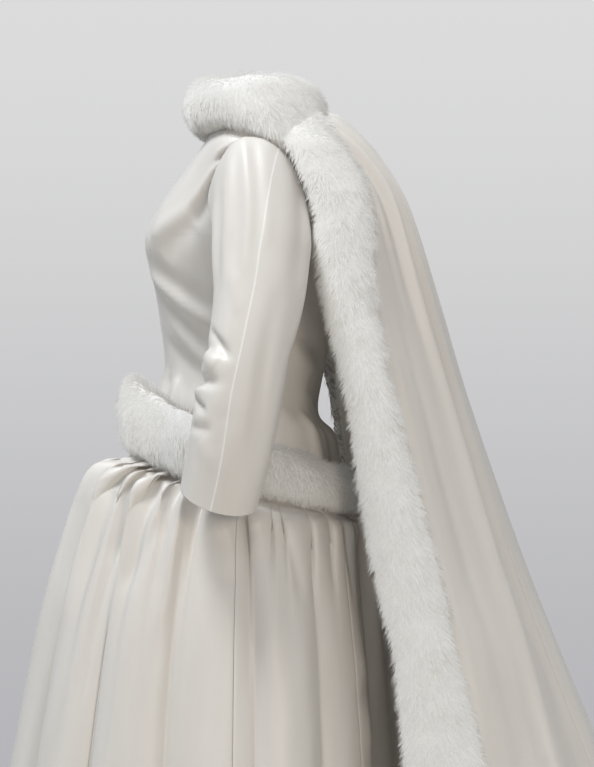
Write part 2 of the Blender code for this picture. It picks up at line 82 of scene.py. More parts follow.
# %% [markdown]
# ## Duchess satin
# Duchess satin is a heavy silk: long warp threads float over the weft, so it has a broad, soft
# sheen and no visible weave from a step away. A plain glossy colour would look like plastic.
# So the finish has four layers: a soft gloss, a slow change of tone along the warp, a bump of
# slack hollows a hand's breadth long, and one of fine warp lines. The threads are 0.1 mm apart,
# too fine to show, so the lines are drawn 1.6 mm apart, as coarse as they need to be. The UV map
# of each panel is in metres on the cloth, U across the warp and V along it, so the lines follow
# every fold. Along each pressed seam a vertex attribute paints the silk paler: a painted
# highlight where the seam's ridge would catch the light.

# %% Satin, woven silk
# Width of each pattern in metres, and how far it is drawn out along the warp (1 is not at all)
WARP_LINES = (0.0016, 0.04)
TONE_STREAKS = (0.045, 0.12)
SLACK_HOLLOWS = (0.050, 0.35)
SATIN_LIGHT = linear("#E0DCD6")
SATIN_DEEP = linear("#D2CCC4")
# Pale tone painted along the pressed seams: a painted highlight on the seam's ridge
SATIN_SEAM_HIGHLIGHT = linear("#F3F1ED")


def along_warp(tree, place, pattern):
    width, squeeze = pattern
    return add_node(tree, "ShaderNodeMapping", Vector=place.outputs["UV"],
                    Scale=(1 / width, squeeze / width, 1.0))


def satin(name, light, deep, roughness):
    made, tree, shader = start_material(name)
    place = add_node(tree, "ShaderNodeTexCoord")
    streaks = along_warp(tree, place, TONE_STREAKS)
    tone = add_node(tree, "ShaderNodeTexNoise", Vector=streaks.outputs[0], Scale=1.0, Detail=3.0,
                    Roughness=0.55)
    mixed = add_node(tree, "ShaderNodeMix", {"data_type": "RGBA"}, Factor=tone.outputs["Fac"],
                     _6=deep, _7=light)
    threads = along_warp(tree, place, WARP_LINES)
    lines = add_node(tree, "ShaderNodeTexNoise", Vector=threads.outputs[0], Scale=1.0, Detail=1.0)
    threads_raised = add_node(tree, "ShaderNodeBump", Height=lines.outputs["Fac"], Strength=0.10,
                              Distance=0.0003)
    slack = along_warp(tree, place, SLACK_HOLLOWS)
    hollows = add_node(tree, "ShaderNodeTexNoise", Vector=slack.outputs[0], Scale=1.0, Detail=1.5)
    bump = add_node(tree, "ShaderNodeBump", Height=hollows.outputs["Fac"], Strength=0.45,
                    Distance=0.006, Normal=threads_raised.outputs["Normal"])
    gloss = add_node(tree, "ShaderNodeMapRange", Value=tone.outputs["Fac"], From_Min=0.3,
                     From_Max=0.7, To_Min=roughness - 0.03, To_Max=roughness + 0.04)
    # Painted seam highlight: the silk is mixed towards the pale tone where a pressed seam stands up
    edge = add_node(tree, "ShaderNodeAttribute", {"attribute_name": "painted_seam_highlight"})
    painted_seam_highlight = add_node(tree, "ShaderNodeMix", {"data_type": "RGBA"}, Factor=edge.outputs["Fac"],
                       _6=mixed.outputs[2], _7=SATIN_SEAM_HIGHLIGHT)
    tree.links.new(painted_seam_highlight.outputs[2], shader.inputs["Base Color"])
    tree.links.new(bump.outputs["Normal"], shader.inputs["Normal"])
    tree.links.new(gloss.outputs["Result"], shader.inputs["Roughness"])
    shader.inputs["IOR"].default_value = 1.50
    shader.inputs["Sheen Weight"].default_value = 0.12
    shader.inputs["Sheen Roughness"].default_value = 0.35
    return made


SATIN = satin("silk_duchess_satin_woven", SATIN_LIGHT, SATIN_DEEP, 0.43)
print("satin:", len(SATIN.node_tree.nodes), "nodes")


# %% [markdown]
# ## White fur
# A pelt of white mink has short, dense hairs that all lie one way. It is made in two parts:
# a padded pelt a little inside the CAD solid, in the tone of the underfur, and a pile of
# thousands of fine spikes. An attribute holds a random tone for each hair, so the colour varies
# from hair to hair, and it darkens each hair from its tip down to its root. That darker root is
# painted shade: it stands in for the shadow that the hairs would cast on each other.

# %% Fur, dressed pelt and hairs
UNDERFUR = linear("#E4E1DB")
# The root tone is darker than the tip: painted shade for the shadows that the hairs don't cast
HAIR_ROOT_PAINTED_SHADE = linear("#C0BDB8")
HAIR_TIP = linear("#DEDCD8")
HAIR_SPACING = 0.0022


def fur_hair():
    made, tree, shader = start_material("white_fur_guard_hair")
    strand_tone_and_root_shade = add_node(tree, "ShaderNodeAttribute", {"attribute_name": "strand_tone_and_root_shade"})
    mixed = add_node(tree, "ShaderNodeMix", {"data_type": "RGBA"}, Factor=strand_tone_and_root_shade.outputs["Fac"],
                     _6=HAIR_ROOT_PAINTED_SHADE, _7=HAIR_TIP)
    tree.links.new(mixed.outputs[2], shader.inputs["Base Color"])
    shader.inputs["Roughness"].default_value = 0.62
    shader.inputs["Sheen Weight"].default_value = 0.25
    shader.inputs["Specular IOR Level"].default_value = 0.15
    return made


def fur_pelt():
    made, tree, shader = start_material("white_fur_dressed_pelt")
    place = add_node(tree, "ShaderNodeTexCoord")
    tufts = add_node(tree, "ShaderNodeTexNoise", Vector=place.outputs["Object"],
                     Scale=1 / (4 * HAIR_SPACING), Detail=4.0, Roughness=0.7)
    mixed = add_node(tree, "ShaderNodeMix", {"data_type": "RGBA"}, Factor=tufts.outputs["Fac"],
                     _6=UNDERFUR, _7=HAIR_TIP)
    bump = add_node(tree, "ShaderNodeBump", Height=tufts.outputs["Fac"], Strength=0.5,
                    Distance=HAIR_SPACING)
    tree.links.new(mixed.outputs[2], shader.inputs["Base Color"])
    tree.links.new(bump.outputs["Normal"], shader.inputs["Normal"])
    shader.inputs["Roughness"].default_value = 0.9
    return made


HAIR = fur_hair()
PELT = fur_pelt()
print("fur materials:", HAIR.name, PELT.name)


# %% [markdown]
# ## Smooth sections
# Every form below is a table of sections, read smoothly between its rows, exactly as in the
# CAD source. Here the functions take whole arrays at once, so that a panel of thousands of
# points is worked out in one go.

# %% Reading a table of sections
def smooth_through(knots, values, at):
    """Smooth curve through the values at rising knots."""
    knots, values = np.asarray(knots, float), np.asarray(values, float)
    last = len(knots) - 1
    low = np.maximum(np.arange(last + 1) - 1, 0)
    high = np.minimum(np.arange(last + 1) + 1, last)
    slopes = (values[high] - values[low]) / (knots[high] - knots[low])
    at = np.clip(at, knots[0], knots[-1])
    i = np.clip(np.searchsorted(knots, at, side="right") - 1, 0, last - 1)
    span = knots[i + 1] - knots[i]
    t = (at - knots[i]) / span
    return (values[i] * (1 - t) ** 2 * (1 + 2 * t) + values[i + 1] * t * t * (3 - 2 * t)
            + slopes[i] * span * t * (1 - t) ** 2 - slopes[i + 1] * span * t * t * (1 - t))


def section(table, at):
    knots = range(len(table))
    return [smooth_through(knots, [row[c] for row in table], at) for c in range(1, len(table[0]))]


def bell(x, width):
    return np.exp(-0.5 * (x / width) ** 2)


def wrapped(degrees):
    return (degrees + 180.0) % 360.0 - 180.0


# %% Points and directions
def points_of(x, y, z):
    return np.stack(np.broadcast_arrays(x, y, z), axis=-1).astype(float)


def unit(a):
    return a / np.linalg.norm(a, axis=-1, keepdims=True)


def moved(points, way, far):
    return points + way * np.asarray(far)[..., None]


def oval(angle, half_width, front, back, squareness=2.0):
    """X and Y on a section, counted in radians from the front towards the left."""
    power = 2.0 / squareness
    s, c = np.sin(angle), np.cos(angle)
    x = np.sign(s) * np.abs(s) ** power * half_width
    return x, np.abs(c) ** power * np.where(c > 0, front, back)


def tilted(angle, z_front, z_side, z_back):
    c = np.cos(angle)
    return z_side + (np.where(c > 0, z_front, z_back) - z_side) * np.abs(c)


def facing(surface, u, v, step=0.002):
    """Outward direction of a surface whose u runs to the gown's left and v runs up."""
    across = surface(u + step, v) - surface(u - step, v)
    up = surface(u, v + step) - surface(u, v - step)
    return unit(np.cross(across, up))


# %% [markdown]
# ## Creases
# A crease in heavy satin is a soft trough with a soft ridge beside it. Each row of a crease
# table is one of them: it runs from one place on the cloth to another, it is so wide and so
# high (a trough is below zero), and it fades at both ends. They are placed one by one, each with
# its own sizes, because even ones would look like corrugated card.

# %% Soft troughs and ridges
def in_metres(table, across, up=1.0):
    """A crease table given in other units, such as degrees, turned to metres on the cloth."""
    return [(name, a * across, b * up, c * across, d * up, wide, high)
            for name, a, b, c, d, wide, high in table]


def creased(table, across, up):
    """Height of all the creases of a table at places given in metres on the cloth."""
    height = np.zeros(np.broadcast(across, up).shape)
    for _, from_across, from_up, to_across, to_up, wide, high in table:
        run_across, run_up = to_across - from_across, to_up - from_up
        along = (across - from_across) * run_across + (up - from_up) * run_up
        along = np.clip(along / (run_across ** 2 + run_up ** 2), 0.0, 1.0)
        off = np.hypot(across - from_across - along * run_across, up - from_up - along * run_up)
        height += high * bell(off, wide) * (1 - 0.75 * (2 * along - 1) ** 4)
    return height


# %% [markdown]
# ## One way to make every satin panel
# A panel starts as a flat grid, as the cloth does. Its points are moved to the gown's form by
# the panel's own surface function. Along a seam the cloth turns in, so the points nearest the
# seam sink by half a millimetre, which draws the seam as a fine line. A seam that was pressed
# open stands up instead. A Solidify modifier then gives the cloth its wall, inwards.

# %% From a flat grid to a panel
CLOTH_WALL = 0.0012
SEAM_DEPTH = 0.0005
SEAM_WIDTH = 0.0007
SEAM_GAP = 0.0003


def close_to_seams(count, length):
    """Places from 0 to 1 with extra columns within the seam's turn at both ends."""
    turn = np.array([0.0, 0.6, 1.3, 2.4]) * SEAM_WIDTH / length
    return np.concatenate([turn, np.linspace(0, 1, count + 1)[1:-1], 1 - turn[::-1]])


def lengths_along(points, axis):
    """Distance walked along the cloth from the first row or column."""
    steps = np.linalg.norm(np.diff(points, axis=axis), axis=-1)
    start = np.zeros_like(np.take(steps, [0], axis=axis))
    return np.concatenate([start, np.cumsum(steps, axis=axis)], axis=axis)


def grid_normals(points):
    across = np.gradient(points, axis=1)
    up = np.gradient(points, axis=0)
    return unit(np.cross(across, up))


def satin_panel(name, node, across, up, surface, seams, seam_depth=SEAM_DEPTH):
    u, v = np.meshgrid(across, up)
    points = surface(u, v)
    walked_u, walked_v = lengths_along(points, 1), lengths_along(points, 0)
    ends = {"first": walked_u, "last": walked_u[:, -1:] - walked_u,
            "foot": walked_v, "head": walked_v[-1:, :] - walked_v}
    sink = sum(bell(ends[side], SEAM_WIDTH) for side in seams) if seams else 0.0 * u
    points = moved(points, grid_normals(points), -seam_depth * sink)
    # Where the seam stands up, the same weight paints a pale highlight line along its ridge
    painted_seam_highlight = sink if seam_depth < 0 else 0.0 * u
    shape = bmesh.new()
    bmesh.ops.create_grid(shape, x_segments=len(across) - 1, y_segments=len(up) - 1, size=1.0)
    mesh = bpy.data.meshes.new(name)
    shape.to_mesh(mesh)
    shape.free()
    flat = np.empty(len(mesh.vertices) * 3)
    mesh.vertices.foreach_get("co", flat)
    flat = flat.reshape(-1, 3)
    column = np.rint((flat[:, 0] + 1) / 2 * (len(across) - 1)).astype(int)
    row = np.rint((flat[:, 1] + 1) / 2 * (len(up) - 1)).astype(int)
    mesh.vertices.foreach_set("co", points[row, column].ravel())
    corner = np.empty(len(mesh.loops), dtype=int)
    mesh.loops.foreach_get("vertex_index", corner)
    middle = walked_u - walked_u[:, -1:] / 2
    on_cloth = np.stack([middle[row, column], walked_v[row, column]], axis=-1)
    mesh.uv_layers.new(name="on_cloth").data.foreach_set("uv", on_cloth[corner].ravel())
    seam_highlight_layer = mesh.attributes.new("painted_seam_highlight", "FLOAT", "POINT")
    seam_highlight_layer.data.foreach_set("value", painted_seam_highlight[row, column].ravel())
    mesh.shade_smooth()
    mesh.update()
    piece = bpy.data.objects.new(name, mesh)
    piece.data.materials.append(SATIN)
    bpy.context.scene.collection.objects.link(piece)
    thickness = piece.modifiers.new("wall", "SOLIDIFY")
    thickness.thickness = CLOTH_WALL
    thickness.offset = -1.0
    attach(piece, "root")
    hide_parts(node)
    return piece


# %% [markdown]
# ## Bodice
# Four quarters, cut with the bust's fullness. The satin is pulled smooth over the bust, and it
# creases only where it is dragged: a fold runs from the armhole down over the bust, slanting
# folds run from the bust to the waist, and the cloth flares where it goes under the fur band.
# The armhole is an oval, and the rows are closest where it begins and ends.

# %% Bodice sections and creases
TORSO = [
    # name          z_front  z_side   z_back  half_width  front    back
    ("hip_seam",    -0.4170, -0.4840, -0.529, 0.1600, -0.1330, 0.1380),
    ("high_hip",    -0.3780, -0.4180, -0.440, 0.1460, -0.1265, 0.1310),
    ("waist",       -0.3350, -0.3720, -0.402, 0.1300, -0.1145, 0.1045),
    ("midriff",     -0.2750, -0.3000, -0.325, 0.1330, -0.1210, 0.1160),
    ("underbust",   -0.2100, -0.2280, -0.245, 0.1450, -0.1290, 0.1270),
    ("bust",        -0.1600, -0.1600, -0.165, 0.1535, -0.1330, 0.1340),
    ("chest",       -0.1120, -0.1120, -0.114, 0.1580, -0.1170, 0.1315),
    ("upper_chest", -0.0660, -0.0680, -0.066, 0.1640, -0.0900, 0.1150),
    ("shoulder",    -0.0300, -0.0310, -0.024, 0.1690, -0.0640, 0.0930),
    ("neckline",    -0.0120, -0.0100,  0.014, 0.1400, -0.0520, 0.0820),
]
TORSO_ROWS = len(TORSO) - 1
TORSO_SQUARENESS = 2.4
BUST_POINT_X = 0.075
BUST_POINT_Z = -0.158
BUST_FULLNESS = 0.0150
BUST_SPREAD_X = 0.043
BUST_SPREAD_Z = 0.046
ARMHOLE_ROW = 6.60
ARMHOLE_ROWS = 1.55
ARMHOLE_FRONT = 24.0
ARMHOLE_BACK = 32.0
ARMHOLE_SEAM_SHARE = 0.992
BODICE_METRES_PER_DEGREE = 0.0027
BODICE_CREASES = [
    # name          degrees  z     to_degrees  z     wide    high
    ("bust_fold",     66, -0.060,   56, -0.120, 0.0080,  0.0054),
    ("bust_turn",     56, -0.120,   30, -0.158, 0.0110,  0.0044),
    ("under_fold",    70, -0.078,   62, -0.142, 0.0100, -0.0051),
    ("under_turn",    62, -0.142,   40, -0.186, 0.0140, -0.0039),
    ("pinch",         71, -0.046,   64, -0.054, 0.0035, -0.0064),
    ("pinch_high",    71, -0.038,   58, -0.046, 0.0050,  0.0024),
    ("slant_ridge",   16, -0.206,   72, -0.282, 0.0075,  0.0066),
    ("slant_trough",  24, -0.194,   78, -0.262, 0.0095, -0.0048),
    ("slant_low",     22, -0.236,   70, -0.318, 0.0100, -0.0040),
    ("waist_ridge",   34, -0.272,   76, -0.350, 0.0085,  0.0044),
    ("waist_pull",    20, -0.300,   60, -0.348, 0.0080, -0.0032),
    ("flare_ridge",   38, -0.352,   44, -0.410, 0.0080,  0.0080),
    ("flare_trough",  24, -0.350,   27, -0.405, 0.0070, -0.0060),
    ("flare_side",    62, -0.372,   68, -0.450, 0.0090,  0.0048),
    ("hip_trough",    78, -0.360,   84, -0.440, 0.0090, -0.0039),
    ("back_fold",    112, -0.090,  128, -0.190, 0.0110, -0.0036),
    ("back_ridge",   118, -0.110,  140, -0.230, 0.0100,  0.0036),
    ("blade_fold",   150, -0.060,  158, -0.200, 0.0120, -0.0024),
    ("small_back",   120, -0.290,  160, -0.330, 0.0080, -0.0033),
    ("small_ridge",  116, -0.312,  150, -0.350, 0.0070,  0.0027),
    ("lumbar",       140, -0.360,  172, -0.392, 0.0080, -0.0033),
    ("tail_flare",   130, -0.400,  136, -0.490, 0.0090,  0.0051),
    ("tail_trough",  150, -0.405,  154, -0.500, 0.0090, -0.0039),
]
RIGHT_SIDE_TURN = 4.0
RIGHT_SIDE_DROP = 0.009


def torso_form(angle, at):
    """Outer face of the bodice without creases; at counts rows of TORSO upwards."""
    z_front, z_side, z_back, half_width, front, back = section(TORSO, at)
    x, y = oval(angle, half_width, front, back, TORSO_SQUARENESS)
    z = tilted(angle, z_front, z_side, z_back)
    bust = bell(np.abs(x) - BUST_POINT_X, BUST_SPREAD_X) * bell(z - BUST_POINT_Z, BUST_SPREAD_Z)
    return points_of(x, y - np.where(np.cos(angle) > 0, BUST_FULLNESS * bust, 0), z)


def torso_point(angle, at):
    points = torso_form(angle, at)
    out = facing(torso_form, angle, at)
    degrees = np.degrees(angle)
    turn = np.where(degrees < 0, -degrees - RIGHT_SIDE_TURN, degrees)
    drop = np.where(degrees < 0, RIGHT_SIDE_DROP, 0.0)
    table = in_metres(BODICE_CREASES, BODICE_METRES_PER_DEGREE)
    across = turn * BODICE_METRES_PER_DEGREE
    return moved(points, out, creased(table, across, points[..., 2] + drop))


def armhole_angle(at, back):
    """Where a row of the bodice, running out from the centre front or back, ends."""
    off = (at - ARMHOLE_ROW) / ARMHOLE_ROWS
    reach = (ARMHOLE_BACK if back else -ARMHOLE_FRONT) * np.sqrt(np.maximum(1.0 - off * off, 0.0))
    return np.radians(90.0 + reach)


# %% Cut and shape the four quarters
QUARTER_WIDTH = 0.25
ARMHOLE_FOOT = ARMHOLE_ROW - ARMHOLE_ROWS
ARMHOLE_HEAD = ARMHOLE_ROW + ARMHOLE_ROWS
round_armhole = (1 - np.cos(np.linspace(0, np.pi, 26))) / 2
bodice_rows = np.concatenate([
    np.linspace(0, ARMHOLE_FOOT, 52)[:-1],
    ARMHOLE_FOOT + (ARMHOLE_HEAD - ARMHOLE_FOOT) * round_armhole,
    np.linspace(ARMHOLE_HEAD, TORSO_ROWS, 9)[1:],
])


def bodice_quarter(side, letter, back):
    def surface(u, v):
        at = TORSO_ROWS * v
        edge = armhole_angle(at, back)
        gap = 0.5 * SEAM_GAP / section(TORSO, at)[3]
        low, high = (edge + gap, np.pi - gap) if back else (gap, edge - gap)
        angle = low + (high - low) * (u if side > 0 else 1 - u)
        return torso_point(angle * side, at)

    name = ("bodice_back_" if back else "bodice_front_") + letter
    return satin_panel(name + "_satin", name, close_to_seams(50, QUARTER_WIDTH),
                       bodice_rows / TORSO_ROWS, surface, ("first", "last", "head"))


for side, letter in ((1, "l"), (-1, "r")):
    for back in (False, True):
        bodice_quarter(side, letter, back)


# %% [markdown]
# ## Sleeves
# A set-in sleeve in two halves that meet at an underarm seam and at an outer seam, which starts
# behind the shoulder and drifts forward to the cuff. The cloth is eased into the armhole, so
# soft upright pleats stand in the sleeve head, and it breaks into folds at the front of the
# elbow, where the sleeve bends.

# %% Sleeve sections and creases
SLEEVE = [
    # name           x       y        z      half_depth  half_width
    ("upper_arm",    0.2150,  0.0180, -0.181, 0.0660, 0.0500),
    ("above_elbow",  0.2400,  0.0135, -0.249, 0.0610, 0.0500),
    ("elbow",        0.2610,  0.0000, -0.317, 0.0560, 0.0490),
    ("below_elbow",  0.2710, -0.0145, -0.384, 0.0580, 0.0480),
    ("forearm",      0.2715, -0.0255, -0.450, 0.0560, 0.0470),
    ("cuff",         0.2640, -0.0400, -0.513, 0.0530, 0.0460),
]
CUFF_DIP = 0.0150
SLEEVE_HEAD_SHARE = 0.30
# How far the head runs straight out of the armhole, and into the sleeve: below, and more on top
HEAD_LEAVES = (0.010, 0.022)
HEAD_ARRIVES = (0.032, 0.020)
# Degrees of the outer seam at the armhole, at the end of the sleeve head and at the cuff
OUTER_SEAM = [134.8, 90.0, 77.0]
ELBOW_PINCHES = [
    # name       along   round   deep    long    wide
    ("upper",    0.605,   18.0, 0.0050, 0.016, 24.0),
    ("middle",   0.690,    5.0, 0.0065, 0.016, 30.0),
    ("lower",    0.775,   30.0, 0.0045, 0.014, 24.0),
]
SLEEVE_METRES_PER_DEGREE = 0.00096
SLEEVE_LENGTH = 0.49
SLEEVE_CREASES = [
    # name           degrees  share  to_degrees share  wide    high
    ("elbow_slash",    14, 0.556,   66, 0.626, 0.0040, -0.0069),
    ("elbow_swell",     8, 0.610,   50, 0.656, 0.0070,  0.0057),
    ("elbow_notch",    -8, 0.690,   58, 0.694, 0.0050, -0.0054),
    ("elbow_bulge",    -6, 0.716,   34, 0.712, 0.0050,  0.0039),
    ("elbow_tuck",      0, 0.736,   42, 0.762, 0.0034, -0.0067),
    ("elbow_roll",     10, 0.780,   60, 0.776, 0.0075,  0.0041),
    ("lower_crease",    2, 0.812,   58, 0.806, 0.0052, -0.0040),
    ("lower_slant",    40, 0.840,   70, 0.890, 0.0080,  0.0018),
    ("inner_break_1", -64, 0.560,  -16, 0.612, 0.0060, -0.0042),
    ("inner_break_2", -70, 0.645,  -14, 0.655, 0.0060,  0.0032),
    ("inner_break_3", -58, 0.700,  -12, 0.704, 0.0060, -0.0040),
    ("head_pleat_1",  104, 0.060,   92, 0.330, 0.0050,  0.0018),
    ("head_pleat_2",   84, 0.050,   70, 0.400, 0.0055,  0.0020),
    ("head_dent_1",    94, 0.050,   80, 0.350, 0.0055, -0.0016),
    ("head_dent_2",    66, 0.080,   54, 0.380, 0.0070, -0.0021),
    ("head_pleat_3",   50, 0.090,   38, 0.430, 0.0060,  0.0018),
    ("front_dent",     30, 0.140,   24, 0.440, 0.0070, -0.0021),
    ("front_pleat",    12, 0.170,    8, 0.400, 0.0060,  0.0022),
    ("front_drag",     50, 0.400,   70, 0.520, 0.0070,  0.0016),
    ("long_fold",      62, 0.620,   58, 0.960, 0.0090,  0.0014),
    ("back_dent",     150, 0.120,  140, 0.420, 0.0100, -0.0030),
    ("back_pleat",    168, 0.140,  160, 0.480, 0.0090,  0.0026),
    ("back_fold",     112, 0.440,  122, 0.860, 0.0100, -0.0024),
    ("back_roll",     140, 0.500,  142, 0.900, 0.0110,  0.0020),
    ("elbow_point",   176, 0.560,  206, 0.640, 0.0080, -0.0028),
    ("under_fold",    236, 0.300,  226, 0.600, 0.0100, -0.0028),
]


def armhole_rim(angle):
    """A point just inside the armhole edge, and the way the sleeve leaves it."""
    reach = np.where(np.cos(angle) > 0, ARMHOLE_FRONT, ARMHOLE_BACK)
    place = np.radians(90.0 - reach * ARMHOLE_SEAM_SHARE * np.cos(angle))
    at = ARMHOLE_ROW + ARMHOLE_ROWS * ARMHOLE_SEAM_SHARE * np.sin(angle)
    round_body = torso_form(place + 0.01, at) - torso_form(place - 0.01, at)
    up_body = torso_form(place, at + 0.05) - torso_form(place, at - 0.05)
    return torso_form(place, at), unit(np.cross(round_body, up_body))


def sleeve_axis(along):
    """Centre of the sleeve and its way down; along is 0 at its first section and 1 at the cuff."""
    last = len(SLEEVE) - 1
    at = along * last
    x, y, z, half_depth, half_width = section(SLEEVE, at)
    before = points_of(*section(SLEEVE, np.maximum(at - 0.25, 0))[:3])
    after = points_of(*section(SLEEVE, np.minimum(at + 0.25, last))[:3])
    return points_of(x, y, z), unit(after - before), half_depth, half_width


def sleeve_ring(angle, along):
    """A point of a plain sleeve section, square to the centre line."""
    centre, down, half_depth, half_width = sleeve_axis(along)
    outward = unit(np.cross(np.array([0.0, 1.0, 0.0]), -down))
    back = np.cross(-down, outward)
    point = moved(centre, outward, half_width * np.sin(angle))
    return moved(point, back, -half_depth * np.cos(angle)), down, centre


def sleeve_form(angle, share):
    """Outer face of the left sleeve; share is 0 at the armhole and 1 at the cuff."""
    start, outward = armhole_rim(angle)
    end, down, _ = sleeve_ring(angle, np.zeros_like(share))
    top = np.sin(angle)
    leave = moved(start, outward, HEAD_LEAVES[0] + HEAD_LEAVES[1] * np.maximum(top, 0.0))
    arrive = moved(end, down, -HEAD_ARRIVES[0] - HEAD_ARRIVES[1] * top)
    t = np.clip(share / SLEEVE_HEAD_SHARE, 0, 1)[..., None]
    head = ((1 - t) ** 3 * start + 3 * t * (1 - t) ** 2 * leave
            + 3 * t * t * (1 - t) * arrive + t ** 3 * end)
    along = np.clip((share - SLEEVE_HEAD_SHARE) / (1 - SLEEVE_HEAD_SHARE), 0, 1)
    point, down, centre = sleeve_ring(angle, along)
    pinch = sum(deep * bell(share - place, long) * bell(wrapped(np.degrees(angle) - turn), wide)
                for _, place, turn, deep, long, wide in ELBOW_PINCHES)
    tube = moved(point, unit(point - centre), -pinch)
    tube[..., 2] -= CUFF_DIP * np.sin(angle) * np.maximum(along - 0.5, 0.0) ** 2 * 4
    return np.where((share < SLEEVE_HEAD_SHARE)[..., None], head, tube)


def sleeve_point(angle, share):
    points = sleeve_form(angle, share)
    out = -facing(sleeve_form, angle, share, 0.004)
    table = in_metres(SLEEVE_CREASES, SLEEVE_METRES_PER_DEGREE, SLEEVE_LENGTH)
    across = np.degrees(angle) * SLEEVE_METRES_PER_DEGREE
    ease = np.clip(share / 0.06, 0, 1) * np.clip((1 - share) / 0.04, 0, 1)
    return moved(points, out, creased(table, across, share * SLEEVE_LENGTH) * ease)


def outer_seam(share):
    """Angle of the outer sleeve seam, which starts behind the shoulder."""
    return np.radians(smooth_through([0.0, SLEEVE_HEAD_SHARE, 1.0], OUTER_SEAM, share))


# %% Cut and shape the sleeve halves
# The sleeve seams are pressed open, so they stand up as a fine ridge, painted paler along it as a
# highlight
PRESSED_SEAM = -0.0003
PRESSED_GAP = 0.00006
SLEEVE_RADIUS = 0.05
UNDERARM = math.radians(-90.0)
HALF_SLEEVE_WIDTH = 0.19
# The rows are closest round the elbow, where the folds are
sleeve_rows = np.concatenate([np.linspace(0, 0.45, 30)[:-1], np.linspace(0.45, 0.85, 60)[:-1],
                              np.linspace(0.85, 0.99, 10), [0.994, 0.9975, 1.0]])


def sleeve_half(side, letter, back):
    def surface(u, v):
        share = 1 - v
        seam = outer_seam(share)
        gap = 0.5 * PRESSED_GAP / SLEEVE_RADIUS
        low, high = (seam, UNDERARM + 2 * np.pi) if back else (UNDERARM, seam)
        along = u if side > 0 else 1 - u
        points = sleeve_point(low + gap + (high - low - 2 * gap) * along, share)
        return points * np.array([side, 1.0, 1.0])

    name = ("sleeve_back_" if back else "sleeve_front_") + letter
    return satin_panel(name + "_satin", name, close_to_seams(58, HALF_SLEEVE_WIDTH),
                       1 - sleeve_rows[::-1], surface, ("first", "last", "head"), PRESSED_SEAM)


for side, letter in ((1, "l"), (-1, "r")):
    for back in (False, True):
        sleeve_half(side, letter, back)


# %% [markdown]
# ## Gathered skirt
# Seven gores are shirred into the hip seam. Shirring makes tongues of cloth with sharp
# grooves between them, which open within a hand's breadth into broad rolling folds. So the
# surface has two layers: an arch between each pair of grooves, which fades downwards at its own
# rate, and the broad folds of the CAD solid, whose grooves lean over a little to one side.

# %% Skirt sections, gathers and folds
SKIRT = [
    # name        z_front  z_side   z_back  half_width  front  back     fold
    ("hem",        -1.4190, -1.4190, -1.4190,  0.3850, -0.4060,  0.2500,  0.0170),
    ("knee",       -1.1200, -1.1200, -1.1200,  0.3390, -0.3570,  0.2230,  0.0150),
    ("photo_edge", -0.9000, -0.9050, -0.9100,  0.3040, -0.3220,  0.2040,  0.0125),
    ("thigh",      -0.7000, -0.7250, -0.7350,  0.2710, -0.2850,  0.1910,  0.0100),
    ("hip",        -0.5850, -0.6320, -0.6500,  0.2470, -0.2520,  0.1820,  0.0075),
    ("gathers",    -0.5120, -0.5720, -0.5960,  0.2300, -0.2260,  0.1770,  0.0040),
    ("puff",       -0.4740, -0.5360, -0.5640,  0.2120, -0.1970,  0.1700,  0.0015),
    ("lip",        -0.4690, -0.5240, -0.5550,  0.1880, -0.1660,  0.1590,  0.0000),
    ("under_band", -0.4560, -0.5120, -0.5460,  0.1660, -0.1385,  0.1440,  0.0000),
    ("hip_seam",   -0.4186, -0.4856, -0.5306,  0.1600, -0.1330,  0.1380,  0.0000),
]
SKIRT_ROWS = len(SKIRT) - 1
PUFF_ROW = 6
LIP_ROW = 7
SKIRT_SQUARENESS = 2.1
# The gores are counted in gathers, of which 28 go round the hips
GATHERS = 28
FOLD_CRESTS = [-12.0, 12.0, 36.0, 59.0, 80.0, 104.0, 136.0, 165.0,
               196.0, 226.0, 256.0, 280.0, 302.0, 325.0, 348.0]
GORES = [
    # name                 first   last
    ("skirt_front",        -3.50,  3.50),
    ("skirt_side_front_l",  3.50,  6.75),
    ("skirt_side_back_l",   6.75, 10.50),
    ("skirt_back_l",       10.50, 14.00),
    ("skirt_back_r",       14.00, 17.50),
    ("skirt_side_back_r",  17.50, 21.25),
    ("skirt_side_front_r", 21.25, 24.50),
]
# Degrees of the grooves between the shirred tongues, counted like the folds
GROOVES = [
    2.0, 19.0, 24.0, 37.0, 41.0, 56.0, 60.5, 73.0, 90.0, 100.5, 105.0, 119.0, 130.0, 139.0,
    148.0, 153.0, 166.0, 171.0, 187.0, 193.0, 209.0, 213.5, 228.0, 244.0, 249.0, 262.0,
    281.0, 286.0, 300.0, 316.0, 320.5, 334.0, 351.0, 356.0,
]
TONGUE_HEIGHT = 0.0220
TONGUE_REACH = 0.055
TONGUE_LEAN = 0.9
TONGUE_USUAL_DEGREES = 8.6
TONGUES_END_ROW = 8.3
# A tongue's groove lies this share of its height below the skirt's form
TONGUE_SINKS = 0.60
PLUMP = 0.35
PLUMP_BELOW_PUFF = 0.004
PLUMP_RUN = 0.016
FOLD_LEAN = 0.80


def gather_angle(gather):
    turn = 2 * np.pi * gather / GATHERS
    return turn + 0.022 * np.sin(3 * turn) + 0.012 * np.sin(8 * turn)


def between(marks, degrees):
    """The number of the mark before a place, the share of the way to the next, and that way."""
    marks = np.array(marks + [marks[0] + 360.0])
    degrees = (degrees - marks[0]) % 360.0 + marks[0]
    last = np.clip(np.searchsorted(marks, degrees, side="right") - 1, 0, len(marks) - 2)
    apart = marks[last + 1] - marks[last]
    return last, (degrees - marks[last]) / apart, apart


